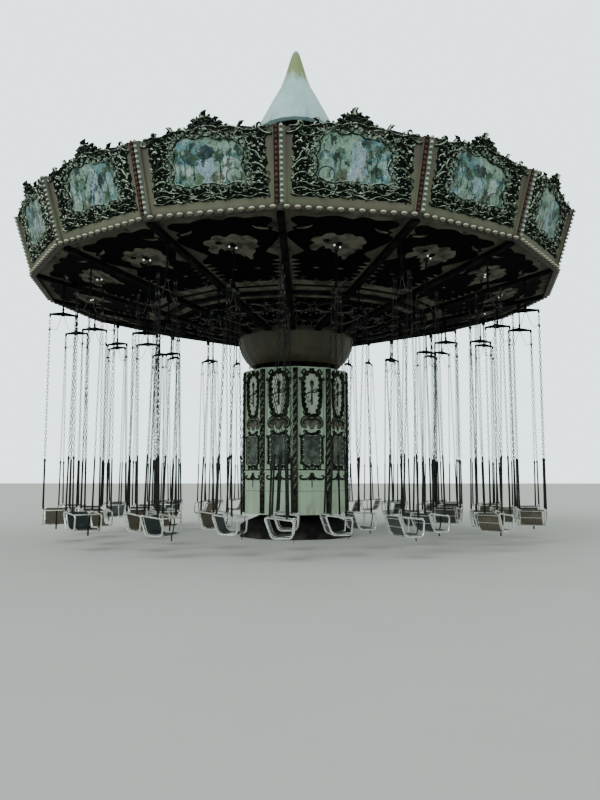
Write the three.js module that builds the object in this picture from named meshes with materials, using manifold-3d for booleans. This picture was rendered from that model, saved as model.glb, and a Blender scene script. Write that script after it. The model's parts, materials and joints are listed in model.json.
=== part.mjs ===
// Chair swing ride: a sixteen-sided crown with painted boards turns on a ten-sided column,
// and three rows of chairs hang from it on chains.
// Millimetres, +Z up. The origin is on the ground, on the axis of the column.
// Azimuth 0 points along -Y, at one corner of the crown, and grows towards +X.
// The crown turns from -Y towards +X, and that is the way the chairs face.

import * as THREE from "three";
import { mergeVertices } from "three/addons/utils/BufferGeometryUtils.js";
import Module from "manifold-3d";

const wasm = await Module();
wasm.setup();

// Driving dimensions

const GAP = 0.3; // clearance between pieces that touch
const SIDES = 16; // boards, arms and bays of the crown
const BAY = (2 * Math.PI) / SIDES;

// The crown's boards, by the radius of their corners
const RIM_R = 6200;
const RIM_Z = 5920;
const BOARD_TOP_R = 6570;
const BOARD_TOP_Z = 7130;
const BOARD_THICK = 48;
const CREST_RISE = 320;
const CORNER_STRIP_WIDE = 210;
const CORNER_STRIP_DEEP = 60;

// The ceiling under the crown, an inverted shallow cone
const CEILING_SLOPE = 0.2253;
const CEILING_THICK = 30;
const ARM_WIDE = 130;
const ARM_DEEP = 90;
const ARM_END_R = 6090;
const MID_RING_R = 3150;

// The bowl under the middle of the ceiling
const BOWL_TOP_R = 1430;
const BOWL_TOP_Z = 4870;
const BOWL_FOOT_R = 1100;
const BOWL_FOOT_Z = 4110;

// The roof and the pointed cap over it
const ROOF_TOP_R = 940;
const ROOF_TOP_Z = 9700;
const ROOF_THICK = 30;
const MAST_R = 800;
const CAP_RIM_R = 1010;
const CAP_RIM_Z = 10160;
const CAP_TIP_Z = 12450;

// The column and its base
const COLUMN_SIDES = 10;
const COLUMN_R = 1300;
const COLUMN_FOOT_Z = 550;
const SKIRT_TOP_Z = 1520;
const COLUMN_TOP_Z = 3960;
const COLUMN_TURN = THREE.MathUtils.degToRad(2.1);
const PLINTH_R = 1380;
const PLINTH_WALL_Z = 300;
const PLINTH_TOP_R = 780;
const SLEW_R = 1010;

// The chairs
const ROWS = [
  { radius: 5540, barZ: 5020, onArm: true },
  { radius: 4870, barZ: 4920, onArm: false },
  { radius: 3720, barZ: 4720, onArm: true },
];
const PIVOT_DROP = 66; // from the arm or ceiling down to the hanger's pin
const BRACKET_ROOT = 20; // how far a bracket's cheeks reach into what carries it
const PIN_WIDE = 16; // square, and the eye's hole stands on its corner round it
const EYE_HOLE_R = (PIN_WIDE / Math.SQRT2 + 2 * GAP) * Math.SQRT2;
const ROD_WIDE = 34;
const EYE_WIDE = 60;
const BAR_LONG = 560;
const HUB_TALL = 140;
const CHAIN_WIDE = 15;
const TUBE_WIDE = 26;
const SIDE_THICK = 18;
const SEAT_Z = 400; // underside of the chair's frame over the ground
const SEAT_WIDE = 570;

const paint = (color, roughness = 0.6, metalness = 0) =>
  new THREE.MeshStandardMaterial({ color, roughness, metalness });
const materials = {
  black: paint(0x15171a, 0.7),
  panel: paint(0xb9c7b4, 0.5),
  steel: paint(0x2b2f2e, 0.5, 0.6),
  bowl: paint(0x2e2721, 0.6),
  ceiling: paint(0x3a3d3a, 0.7),
  board: paint(0x7b7c68, 0.6),
  rail: paint(0x4a3a30, 0.6),
  roof: paint(0x8f9692, 0.7),
  cap: paint(0xbfd0cf, 0.5),
  chair: paint(0xb9bdb8, 0.35, 0.8),
};

// Turns a closed three.js geometry into a solid that can be joined and cut.
function solidOf(geometry) {
  const plain = geometry.clone();
  plain.deleteAttribute("normal");
  plain.deleteAttribute("uv");
  const merged = mergeVertices(plain, 0.001);
  return new wasm.Manifold(
    new wasm.Mesh({
      numProp: 3,
      vertProperties: new Float32Array(merged.attributes.position.array),
      triVerts: new Uint32Array(merged.index.array),
    }),
  );
}

function geometryOf(solid) {
  const { vertProperties, triVerts } = solid.getMesh();
  const geometry = new THREE.BufferGeometry();
  geometry.setAttribute("position", new THREE.BufferAttribute(vertProperties, 3));
  geometry.setIndex(new THREE.BufferAttribute(triVerts, 1));
  geometry.computeVertexNormals();
  return geometry;
}

const joined = (solids) => solids.reduce((sum, next) => sum.add(next));

// A block with its middle at the given place.
function block(wide, deep, tall, place = [0, 0, 0]) {
  return new THREE.BoxGeometry(wide, deep, tall).translate(...place);
}

// A square bar from one point to another.
function bar(from, to, wide) {
  const along = new THREE.Vector3(...to).sub(new THREE.Vector3(...from));
  const geometry = new THREE.BoxGeometry(wide, wide, along.length()).translate(0, 0, along.length() / 2);
  const up = new THREE.Vector3(0, 0, 1);
  geometry.applyQuaternion(new THREE.Quaternion().setFromUnitVectors(up, along.normalize()));
  return geometry.translate(...from);
}

// A solid of revolution from [radius, height] points, with a corner at azimuth 0.
function turned(profile, sides, turn = 0) {
  const points = profile.map(([r, z]) => new THREE.Vector2(r, z));
  const geometry = new THREE.LatheGeometry(points, sides);
  geometry.rotateX(Math.PI / 2);
  return geometry.rotateZ(turn);
}

// A ring whose section is the closed outline of [radius, height] points.
const ring = (section, sides) => turned([...section, section[0]], sides);

// A flat plate cut from an outline of [x, z] points, with its middle at y = 0.
function plate(outline, thick, holes = []) {
  const shape = new THREE.Shape(outline.map(([x, z]) => new THREE.Vector2(x, z)));
  shape.holes = holes.map((hole) => new THREE.Path(hole.map(([x, z]) => new THREE.Vector2(x, z))));
  const geometry = new THREE.ExtrudeGeometry(shape, { depth: thick, bevelEnabled: false });
  geometry.translate(0, 0, -thick / 2);
  return geometry.rotateX(Math.PI / 2);
}

function named(name, geometry, material) {
  const mesh = new THREE.Mesh(geometry, material);
  mesh.name = name;
  return mesh;
}

// Height of the ceiling's underside on an arm's line, by its distance from the axis.
const ceilingZ = (radius) => RIM_Z - (RIM_R - radius) * CEILING_SLOPE;

// Radius of the boards' inner corners at a height.
function boardInnerR(z) {
  const outer = RIM_R + ((z - RIM_Z) * (BOARD_TOP_R - RIM_R)) / (BOARD_TOP_Z - RIM_Z);
  return outer - BOARD_THICK;
}

// Height of a row's pivots: under the arms, or under the middle of the bays.
function pivotZ(row) {
  const under = row.onArm
    ? ceilingZ(row.radius) - ARM_DEEP
    : ceilingZ(row.radius / Math.cos(BAY / 2));
  return under - PIVOT_DROP;
}

// The low black base, with upright walls and a sloped top.
function plinth() {
  const profile = [
    [0, 0],
    [PLINTH_R, 0],
    [PLINTH_R, PLINTH_WALL_Z],
    [PLINTH_TOP_R, COLUMN_FOOT_Z - GAP],
    [0, COLUMN_FOOT_Z - GAP],
  ];
  return named("plinth", turned(profile, COLUMN_SIDES, COLUMN_TURN), materials.black);
}

// The lower, plainer part of the column's cladding.
function columnSkirt() {
  const profile = [
    [0, COLUMN_FOOT_Z],
    [COLUMN_R, COLUMN_FOOT_Z],
    [COLUMN_R, SKIRT_TOP_Z - GAP],
    [0, SKIRT_TOP_Z - GAP],
  ];
  return named("column_skirt", turned(profile, COLUMN_SIDES, COLUMN_TURN), materials.panel);
}

// The tall upper panels, under a moulded edge.
function columnPanels() {
  const moulding = 40;
  const profile = [
    [0, SKIRT_TOP_Z],
    [COLUMN_R + moulding / 2, SKIRT_TOP_Z],
    [COLUMN_R + moulding / 2, SKIRT_TOP_Z + moulding],
    [COLUMN_R, SKIRT_TOP_Z + moulding],
    [COLUMN_R, COLUMN_TOP_Z],
    [0, COLUMN_TOP_Z],
  ];
  return named("column_panels", turned(profile, COLUMN_SIDES, COLUMN_TURN), materials.panel);
}

// The round bearing between the column and the bowl.
function slewRing() {
  const profile = [
    [0, COLUMN_TOP_Z + GAP],
    [SLEW_R, COLUMN_TOP_Z + GAP],
    [SLEW_R, BOWL_FOOT_Z - GAP],
    [0, BOWL_FOOT_Z - GAP],
  ];
  return named("slew_ring", turned(profile, 24), materials.steel);
}

// The closed bowl, rounded at its foot and chamfered at its rim.
function bowl() {
  const bulge = new THREE.QuadraticBezierCurve(
    new THREE.Vector2(BOWL_FOOT_R, BOWL_FOOT_Z),
    new THREE.Vector2(BOWL_TOP_R - 20, BOWL_FOOT_Z + 260),
    new THREE.Vector2(BOWL_TOP_R, BOWL_TOP_Z - 90),
  );
  const side = bulge.getPoints(4).map((p) => [p.x, p.y]);
  const profile = [[0, BOWL_FOOT_Z], ...side, [BOWL_TOP_R - 70, BOWL_TOP_Z], [0, BOWL_TOP_Z]];
  return named("bowl", turned(profile, 24), materials.bowl);
}

// Two cheeks and a pin for the eye of a hanger rod, hanging from height top to the pin at the origin.
function bracket(top) {
  const cheekThick = 12;
  const cheekWide = 64;
  const below = 26;
  const inside = ROD_WIDE / 2 + 4;
  const tall = top + below;
  const cheeks = [-1, 1].map((side) =>
    block(cheekThick, cheekWide, tall, [side * (inside + cheekThick / 2), 0, (top - below) / 2]),
  );
  const pin = block(2 * inside + 4, PIN_WIDE, PIN_WIDE);
  return joined([...cheeks, pin].map(solidOf));
}

// A row's brackets, set round the crown.
function brackets(row) {
  const one = bracket(PIVOT_DROP + BRACKET_ROOT);
  const start = row.onArm ? 0 : BAY / 2;
  return Array.from({ length: SIDES }, (_, n) =>
    one
      .translate([0, -row.radius, pivotZ(row)])
      .rotate([0, 0, THREE.MathUtils.radToDeg(start + n * BAY)]),
  );
}

// The ceiling shell, with a flat collar over the bowl and the brackets of the bays' chairs.
function ceiling() {
  const collarR = 1200;
  const collarZ = BOWL_TOP_Z + GAP;
  const startR = RIM_R - (RIM_Z - collarZ) / CEILING_SLOPE;
  const edgeR = boardInnerR(RIM_Z) - 2 * GAP;
  const section = [
    [collarR, collarZ],
    [startR, collarZ],
    [edgeR, ceilingZ(edgeR)],
    [edgeR, ceilingZ(edgeR) + CEILING_THICK],
    [startR, collarZ + CEILING_THICK],
    [collarR, collarZ + CEILING_THICK],
  ];
  const shell = solidOf(ring(section, SIDES));
  const whole = joined([shell, ...ROWS.filter((row) => !row.onArm).flatMap(brackets)]);
  return named("ceiling", geometryOf(whole), materials.ceiling);
}

// Sixteen box arms along the corners, a ring that ties them and the brackets under them.
function sweepFrame() {
  const innerR = BOWL_TOP_R + 40;
  const lean = Math.atan(CEILING_SLOPE);
  const long = (ARM_END_R - innerR) / Math.cos(lean);
  const middleR = (ARM_END_R + innerR) / 2;
  const arm = block(ARM_WIDE, long, ARM_DEEP)
    .translate(0, 0, -ARM_DEEP / 2 - GAP)
    .rotateX(-lean)
    .translate(0, -middleR, ceilingZ(middleR));
  const arms = Array.from({ length: SIDES }, (_, n) => solidOf(arm.clone().rotateZ(n * BAY)));
  const ringWide = 140;
  const ringTall = 50;
  const ringTop = ceilingZ(MID_RING_R) - GAP;
  const section = [
    [MID_RING_R, ringTop - ringTall],
    [MID_RING_R + ringWide, ringTop - ringTall],
    [MID_RING_R + ringWide, ringTop],
    [MID_RING_R, ringTop],
  ];
  const hung = ROWS.filter((row) => row.onArm).flatMap(brackets);
  const whole = joined([...arms, solidOf(ring(section, SIDES)), ...hung]);
  return named("sweep_frame", geometryOf(whole), materials.steel);
}

// Half the outline of a board's crest, as shares of half the board and of the crest's rise.
const CREST = [
  [0.92, -0.04],
  [0.89, 0.14],
  [0.7, 0.1],
  [0.5, 0.24],
  [0.36, 0.24],
  [0.26, 0.4],
  [0.17, 0.64],
  [0.07, 0.7],
  [0.045, 0.92],
  [0, 1],
];

// The sixteen leaning boards with their crests and the strips over their corners.
function crownBoards() {
  const section = [
    [RIM_R - BOARD_THICK, RIM_Z],
    [RIM_R, RIM_Z],
    [BOARD_TOP_R, BOARD_TOP_Z],
    [BOARD_TOP_R - BOARD_THICK, BOARD_TOP_Z],
  ];
  const edge = 30; // kept clear at the board's ends, and the depth of the crest's root
  const half = BOARD_TOP_R * Math.sin(BAY / 2) - edge;
  const right = CREST.map(([u, v]) => [u * half, v * CREST_RISE]);
  const left = right.slice(0, -1).map(([x, z]) => [-x, z]).reverse();
  const outline = [[-half, -edge], [half, -edge], ...right, ...left];
  const lean = Math.atan(((BOARD_TOP_R - RIM_R) * Math.cos(BAY / 2)) / (BOARD_TOP_Z - RIM_Z));
  const topY = -(BOARD_TOP_R - BOARD_THICK / 2) * Math.cos(BAY / 2);
  const crestThick = BOARD_THICK * 0.8;
  const crest = plate(outline, crestThick).rotateX(lean).translate(0, topY, BOARD_TOP_Z);
  const proud = 4; // how far a corner strip's middle stands off the boards
  const strip = bar(
    [0, -RIM_R - proud, RIM_Z + 12],
    [0, -BOARD_TOP_R - proud, BOARD_TOP_Z],
    CORNER_STRIP_DEEP,
  ).scale(CORNER_STRIP_WIDE / CORNER_STRIP_DEEP, 1, 1);
  const parts = [solidOf(ring(section, SIDES))];
  for (let n = 0; n < SIDES; n += 1) {
    parts.push(solidOf(crest.clone().rotateZ((n + 0.5) * BAY)));
    parts.push(solidOf(strip.clone().rotateZ(n * BAY)));
  }
  return named("crown_boards", geometryOf(joined(parts)), materials.board);
}

// The rail under the boards that carries the large lamps of the lower edge.
function rimRail() {
  const inside = boardInnerR(RIM_Z) + 2;
  const outside = RIM_R + 35;
  const section = [
    [inside, RIM_Z - 75],
    [outside, RIM_Z - 75],
    [outside, RIM_Z - GAP],
    [inside, RIM_Z - GAP],
  ];
  return named("rim_rail", ring(section, SIDES), materials.rail);
}

// The roof shell, from the heads of the boards up to the mast.
function roof() {
  const eaveZ = BOARD_TOP_Z - 90;
  const eaveR = boardInnerR(eaveZ) - 2 * GAP;
  const topInnerR = MAST_R / Math.cos(BAY / 2) + 2 * GAP;
  const section = [
    [topInnerR, ROOF_TOP_Z - ROOF_THICK],
    [eaveR, eaveZ],
    [eaveR, eaveZ + ROOF_THICK],
    [ROOF_TOP_R, ROOF_TOP_Z],
    [topInnerR, ROOF_TOP_Z],
  ];
  return named("roof", ring(section, SIDES), materials.roof);
}

// The tube inside the crown that carries the roof and the cap.
function crownMast() {
  const profile = [
    [0, BOWL_TOP_Z + GAP],
    [MAST_R, BOWL_TOP_Z + GAP],
    [MAST_R, CAP_RIM_Z - GAP],
    [0, CAP_RIM_Z - GAP],
  ];
  return named("crown_mast", turned(profile, SIDES), materials.steel);
}

// The cap's hollow flank, from its edge to its rounded tip: [radius, height over the edge].
const CAP_FLANK = [
  [988, 110],
  [758, 560],
  [585, 900],
  [400, 1240],
  [276, 1590],
  [178, 1930],
  [98, 2190],
  [50, 2268],
];

// The tall pointed cap over the mast.
function crownCap() {
  const side = CAP_FLANK.map(([radius, rise]) => [radius, CAP_RIM_Z + rise]);
  const profile = [[0, CAP_RIM_Z], [CAP_RIM_R, CAP_RIM_Z], ...side, [0, CAP_TIP_Z]];
  return named("crown_cap", turned(profile, 20), materials.cap);
}

// Corners of a chair seen from its side: [forward, up] from the underside of its frame.
const HEEL = [-150, 0];
const TOE = [190, 0];
const ARM = [215, 285];
const SHOULDER = [-275, 345];
const APEX_HALF = 24; // half the width of a side's head, where its two chains meet
const FRONT_CHAIN_X = 100; // where the front and rear chains meet the arm rest
const REAR_CHAIN_X = -185;

// Height of the arm rest, a straight tube from the shoulder down to the front of the arm.
function armRestZ(x) {
  return ARM[1] + ((ARM[0] - x) * (SHOULDER[1] - ARM[1])) / (ARM[0] - SHOULDER[0]);
}

// One flat plate for the eye, the rod, the waisted hub and the spreader bar, seen along the pin.
function hangerPlate(barZ) {
  const halfEye = EYE_WIDE / 2;
  const halfRod = ROD_WIDE / 2;
  const halfBar = BAR_LONG / 2;
  const right = [
    [halfEye, halfEye],
    [halfEye, -halfEye],
    [halfRod, -halfEye],
    [halfRod, barZ + HUB_TALL],
    [halfBar * 0.3, barZ + HUB_TALL * 0.2],
    [halfBar, barZ - 12],
  ];
  const left = right.map(([y, z]) => [-y, z]).reverse();
  const hole = [[EYE_HOLE_R, 0], [0, EYE_HOLE_R], [-EYE_HOLE_R, 0], [0, -EYE_HOLE_R]];
  return plate([...right, ...left], ROD_WIDE, [hole]).rotateZ(Math.PI / 2);
}

// One side of a chair: its front and rear chains, its arm and the tubes beside the seat.
function chairSide(barZ, seatZ) {
  const up = ([x, z]) => [x, z + seatZ];
  const [heel, toe, arm, shoulder] = [HEEL, TOE, ARM, SHOULDER].map(up);
  const front = up([FRONT_CHAIN_X, armRestZ(FRONT_CHAIN_X)]);
  const rear = up([REAR_CHAIN_X, armRestZ(REAR_CHAIN_X)]);
  const head = barZ + 22;
  const outline = [
    [APEX_HALF, head],
    front,
    arm,
    toe,
    heel,
    shoulder,
    rear,
    [-APEX_HALF, head],
  ];
  const betweenChains = [
    [0, barZ - 180],
    [rear[0] + CHAIN_WIDE, rear[1]],
    [front[0] - CHAIN_WIDE, front[1]],
  ];
  const underArm = [
    [heel[0] + TUBE_WIDE + 4, heel[1] + TUBE_WIDE],
    [toe[0] - TUBE_WIDE, toe[1] + TUBE_WIDE],
    [arm[0] - TUBE_WIDE - 2, arm[1] - TUBE_WIDE + 4],
    [shoulder[0] + TUBE_WIDE + 10, shoulder[1] - TUBE_WIDE],
  ];
  return plate(outline, SIDE_THICK, [betweenChains, underArm]);
}

// The seat and its leaning back, bent from one sheet.
function seatShell(seatZ) {
  const thick = TUBE_WIDE - 4;
  const headX = SHOULDER[0] + 8;
  const headZ = SHOULDER[1] - 14;
  const outline = [
    [HEEL[0] + 3, 2],
    [TOE[0] - 4, 2],
    [TOE[0] - 4, thick],
    [HEEL[0] + thick - 2, thick],
    [headX + thick - 4, headZ],
    [headX, headZ],
  ];
  return plate(outline, SEAT_WIDE - SIDE_THICK).translate(0, 0, seatZ);
}

// One hanger with its chair, in the frame of its pivot: +X forward, -Y outward.
function chairSolid(row) {
  const pivot = pivotZ(row);
  const barZ = row.barZ - pivot;
  const seatZ = SEAT_Z - pivot;
  const sides = [-1, 1].map((side) =>
    chairSide(barZ, seatZ).translate(0, (side * (SEAT_WIDE - SIDE_THICK)) / 2, 0),
  );
  return geometryOf(joined([hangerPlate(barZ), ...sides, seatShell(seatZ)].map(solidOf)));
}

// Sixteen chairs a row, numbered row by row from azimuth 0.
function chairs() {
  const group = new THREE.Group();
  ROWS.forEach((row, index) => {
    const geometry = chairSolid(row);
    for (let n = 0; n < SIDES; n += 1) {
      const azimuth = (row.onArm ? 0 : BAY / 2) + n * BAY;
      const number = String(index * SIDES + n + 1).padStart(2, "0");
      const chair = named(`chair_${number}`, geometry, materials.chair);
      chair.position.set(row.radius * Math.sin(azimuth), -row.radius * Math.cos(azimuth), pivotZ(row));
      chair.rotation.z = azimuth;
      group.add(chair);
    }
  });
  return group;
}

const ride = new THREE.Group();
ride.add(plinth(), columnSkirt(), columnPanels(), slewRing());
ride.add(bowl(), ceiling(), sweepFrame(), crownBoards(), rimRail(), roof(), crownMast(), crownCap());
ride.add(chairs());

export default ride;
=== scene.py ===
# %% [markdown]
# # A chair swing ride
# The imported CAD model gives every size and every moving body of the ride. This file keeps its
# shapes, gives them paint that has stood outdoors for years, and adds what is too fine for the
# solids: carved boards, lamps, mirrors, chain links and the bent tubes of the chairs.
# Everything is in metres. The origin is on the ground, under the middle of the column.

import json
import random
from math import atan, atan2, copysign, cos, degrees, dist, hypot, pi, radians, sin, tan, tau

import bmesh
import bpy
from mathutils import Matrix, Vector


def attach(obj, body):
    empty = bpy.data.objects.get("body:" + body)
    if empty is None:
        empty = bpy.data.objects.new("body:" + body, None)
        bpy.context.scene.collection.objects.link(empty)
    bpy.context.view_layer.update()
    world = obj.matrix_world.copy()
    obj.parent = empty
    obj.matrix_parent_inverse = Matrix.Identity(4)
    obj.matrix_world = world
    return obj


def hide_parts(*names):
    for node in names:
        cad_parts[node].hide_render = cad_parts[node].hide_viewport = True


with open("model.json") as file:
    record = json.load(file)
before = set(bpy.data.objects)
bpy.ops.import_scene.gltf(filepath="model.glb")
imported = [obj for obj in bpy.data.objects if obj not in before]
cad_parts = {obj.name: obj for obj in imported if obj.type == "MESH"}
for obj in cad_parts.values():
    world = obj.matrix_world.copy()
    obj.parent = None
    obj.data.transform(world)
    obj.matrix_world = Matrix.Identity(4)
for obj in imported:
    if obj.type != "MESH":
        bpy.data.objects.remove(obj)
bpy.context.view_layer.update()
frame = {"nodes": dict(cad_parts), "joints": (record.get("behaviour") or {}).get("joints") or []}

# %% [markdown]
# ## Sizes
# Every piece sits on a solid of the CAD model, so the sizes that both share are written once,
# in metres. Azimuth 0 points along -Y, at a corner of the crown, and grows towards +X.

# %% Sizes shared with the solids
SIDES = 16
BAY = tau / SIDES
APOTHEM = cos(BAY / 2)
RIM_R, RIM_Z = 6.2, 5.92
TOP_R, TOP_Z = 6.57, 7.13
SLOPE = 0.2253
COLUMN_SIDES, COLUMN_R = 10, 1.3
COLUMN_BAY, COLUMN_TURN = tau / COLUMN_SIDES, radians(2.1)
board_wide, board_tall = 2 * RIM_R * sin(BAY / 2), hypot((TOP_R - RIM_R) * APOTHEM, TOP_Z - RIM_Z)
print(f"A board is {board_wide:.2f} m wide at its foot and {board_tall:.2f} m tall")

# %% [markdown]
# ## A form that becomes a mesh
# Blender makes a mesh from a list of points and a list of faces. Most pieces of the ride are
# many small shapes of one finish. Each shape could be an object of its own, but thousands of
# objects are slow, so a form gathers the shapes first. Each point also keeps a ridge value, 0
# at the foot of a carving and 1 on its crest, and a tint. The paint reads both later.

# %% The form
class Form:
    def __init__(self):
        self.points, self.faces, self.finishes, self.ridges, self.tints = [], [], [], [], []

    def add(self, points, faces, finish=0, ridges=None, tint=(1, 1, 1)):
        start = len(self.points)
        self.points += [Vector(p) for p in points]
        self.faces += [[start + i for i in face] for face in faces]
        self.finishes += [finish] * len(faces)
        self.ridges += ridges or [0.0] * len(points)
        self.tints += [tint] * len(points)

    def loft(self, rings, closed=False, **look):
        """Joins rings of as many points each, and closes both ends unless they meet."""
        count, size = len(rings), len(rings[0])
        faces = []
        for i in range(count if closed else count - 1):
            a, b = i * size, (i + 1) % count * size
            faces += [[a + n, a + (n + 1) % size, b + (n + 1) % size, b + n] for n in range(size)]
        if not closed:
            faces += [list(range(size))[::-1], list(range((count - 1) * size, count * size))]
        self.add([p for ring in rings for p in ring], faces, **look)

    def mesh(self, name, *materials, place=None, smooth=40):
        mesh = bpy.data.meshes.new(name)
        mesh.from_pydata([place @ p for p in self.points] if place else self.points, [], self.faces)
        mesh.attributes.new("ridge", "FLOAT", "POINT").data.foreach_set("value", self.ridges)
        colours = [v for tint in self.tints for v in (*tint, 1)]
        mesh.attributes.new("tint", "FLOAT_COLOR", "POINT").data.foreach_set("color", colours)
        mesh.polygons.foreach_set("material_index", self.finishes)
        for material in materials:
            mesh.materials.append(material)
        shell = bmesh.new()
        shell.from_mesh(mesh)
        bmesh.ops.recalc_face_normals(shell, faces=shell.faces)
        shell.to_mesh(mesh)
        shell.free()
        mesh.shade_smooth()
        mesh.set_sharp_from_angle(angle=radians(smooth))
        return mesh


# %% Meshes in the scene
def linked(name, data):
    thing = bpy.data.objects.new(name, data)
    bpy.context.scene.collection.objects.link(thing)
    return thing


def show(name, mesh, body):
    """Puts a finished mesh in the scene, on its body."""
    thing = linked(name, mesh)
    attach(thing, body)
    return thing


def triangles(mesh):
    return sum(len(face.vertices) - 2 for face in mesh.polygons)


print("The CAD nodes have", sum(triangles(node.data) for node in frame["nodes"].values()), "triangles")


# %% [markdown]
# ## Basic shapes
# Strips, tubes, collars and painted shapes are made in three ways. A plate has an outline and
# a thickness. A pipe is a round section that follows a line. A turned shape is a profile that
# goes round the upright axis. Blender's curves could draw them too, but plain points are quick
# to gather in one mesh. All three are closed, so their outside is clear and light can't leak
# through a seam.

# %% Plates, pipes and turned shapes
def plate(form, outline, low, high, inset=0.0, **look):
    """A flat plate between two heights. Its upper edge is drawn in by the inset."""
    count = len(outline)
    middle = Vector((sum(x for x, _ in outline) / count, sum(y for _, y in outline) / count))
    upper = [Vector(p) - (Vector(p) - middle).normalized() * inset for p in outline]
    look.setdefault("ridges", [0.0] * count + [1.0] * count)
    form.loft([[(x, y, low) for x, y in outline], [(p.x, p.y, high) for p in upper]], **look)


def box(left, right, low, high):
    """A rectangle's outline."""
    return [(left, low), (right, low), (right, high), (left, high)]


def pipe(form, line, radius, sides=8, closed=False, **look):
    """A round section along a line, with flat ends. The radius is one number or one for each point."""
    line = [Vector(p) for p in line]
    count = len(line)
    radii = radius if isinstance(radius, list) else [radius] * count
    turns = [tau * n / sides for n in range(sides)]
    rings, across = [], None
    for i, here in enumerate(line):
        after = line[(i + 1) % count] if closed or i < count - 1 else here
        before = line[i - 1] if closed or i > 0 else here
        along = (after - before).normalized()
        if across is None:
            across = along.orthogonal()
        across = (across - along * across.dot(along)).normalized()
        other = along.cross(across)
        rings.append([here + radii[i] * (cos(turn) * across + sin(turn) * other) for turn in turns])
    form.loft(rings, closed, **look)


def turned(form, profile, sides, place=Vector((0, 0, 0)), **look):
    """A profile of (radius, height) points round the upright axis. Radius 0 closes a pole."""
    points, rows, faces = [], [], []
    for radius, height in profile:
        rows.append((len(points), radius > 0))
        for n in range(sides if radius > 0 else 1):
            turn = tau * n / sides
            points.append(place + Vector((radius * sin(turn), -radius * cos(turn), height)))
    for (a, a_ring), (b, b_ring) in zip(rows, rows[1:]):
        for n in range(sides):
            m = (n + 1) % sides
            face = [a + n, a + m] if a_ring else [a]
            faces.append(face + ([b + m, b + n] if b_ring else [b]))
    form.add(points, faces, **look)


tried = Form()
pipe(tried, [(0, 0, 0), (0, 0, 1)], 0.1)
print("A straight pipe has", len(tried.faces), "faces")


# %% Softened and bent lines
def smoothed(outline, steps, closed=True):
    """A softer line through the same points."""
    count = len(outline)
    spot = (lambda i: outline[i % count]) if closed else (lambda i: outline[min(max(i, 0), count - 1)])
    line = []
    for i in range(count if closed else count - 1):
        a, b, c, d = (spot(i + k) for k in (-1, 0, 1, 2))
        for n in range(steps):
            t = n / steps
            line.append(tuple(
                0.5 * (2 * q + (r - p) * t + (2 * p - 5 * q + 4 * r - s) * t**2
                       + (3 * q - p - 3 * r + s) * t**3)
                for p, q, r, s in zip(a, b, c, d)
            ))
    return line if closed else [*line, tuple(outline[-1])]


def bow(start, corner, end, shares):
    """Points of the curve from start to end that a corner pulls to its side."""
    return [start * (1 - t) ** 2 + corner * 2 * t * (1 - t) + end * t**2 for t in shares]


def bent(corners, radius):
    """The closed middle line of a tube that is bent round its corners."""
    corners = [Vector(c) for c in corners]
    line = []
    for before, corner, after in zip(corners[-1:] + corners, corners, corners[1:] + corners[:1]):
        reach = min(radius, (before - corner).length * 0.45, (after - corner).length * 0.45)
        start = corner + (before - corner).normalized() * reach
        end = corner + (after - corner).normalized() * reach
        line += bow(start, corner, end, (0, 1 / 3, 2 / 3, 1))
    return line


square = [(0, 0, 0), (1, 0, 0), (1, 1, 0), (0, 1, 0)]
print("A square tube bent at its corners runs through", len(bent(square, 0.1)), "points")


# %% [markdown]
# ## Node trees
# Materials and Geometry Nodes are both node trees. They are mostly drawn by hand in an editor,
# but a tree that is written out is the same on every run. One class adds nodes to either: a
# node's type, then its settings, then what goes into its sockets. A value wraps a socket, and
# Python's own signs between values add the Math nodes, so a mask reads like a formula.

# %% Values and node trees
def sign(operation, swapped=False):
    """What one of Python's signs does between two values: it adds a Math node."""
    def maths(self, other):
        values = (other, self) if swapped else (self, other)
        return self.graph.node("ShaderNodeMath", {"operation": operation}, dict(enumerate(values)))
    return maths


class Value:
    def __init__(self, graph, socket):
        self.graph, self.socket = graph, socket

    __add__ = __radd__ = sign("ADD")
    __mul__ = __rmul__ = sign("MULTIPLY")
    __sub__, __rsub__ = sign("SUBTRACT"), sign("SUBTRACT", swapped=True)
    __truediv__, __mod__ = sign("DIVIDE"), sign("MODULO")

    def between(self, low, high):
        """0 below low, 1 above high and a soft step between them."""
        ends = {"Value": self, "From Min": low, "From Max": high}
        return self.graph.node("ShaderNodeMapRange", {"interpolation_type": "SMOOTHSTEP"}, ends)


class Graph:
    def __init__(self, tree):
        self.tree = tree

    def plug(self, socket, value):
        if isinstance(value, Value):
            self.tree.links.new(value.socket, socket)
        elif isinstance(value, tuple) and len(value) == 3 and socket.type == "RGBA":
            socket.default_value = (*value, 1)
        else:
            socket.default_value = value

    def node(self, kind, settings=None, sockets=None, take=0):
        made = self.tree.nodes.new(kind)
        for key, value in (settings or {}).items():
            setattr(made, key, value)
        for key, value in (sockets or {}).items():
            self.plug(made.inputs[key], value)
        return Value(self, made.outputs[take])


# %% [markdown]
# ## Finishes
# Nothing on this ride has one flat colour. Every finish starts from its paint and adds what
# the weather did: rain streaks, dust, patches gone pale and dark dirt. Some finishes also
# paint light and shade into the colour: highlights and shade on the carving and on some
# lamps, shade under the crest and reflections on the mirrors. Photographs of old paint could
# give the same, but they need files and unwrapping. The patterns here are noise that reads
# Object coordinates, so they stay at real scale and turn with the piece.

# %% The finish class
MATT = {"Specular IOR Level": 0.12}
DEAD_MATT = {"Specular IOR Level": 0.02}


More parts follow.
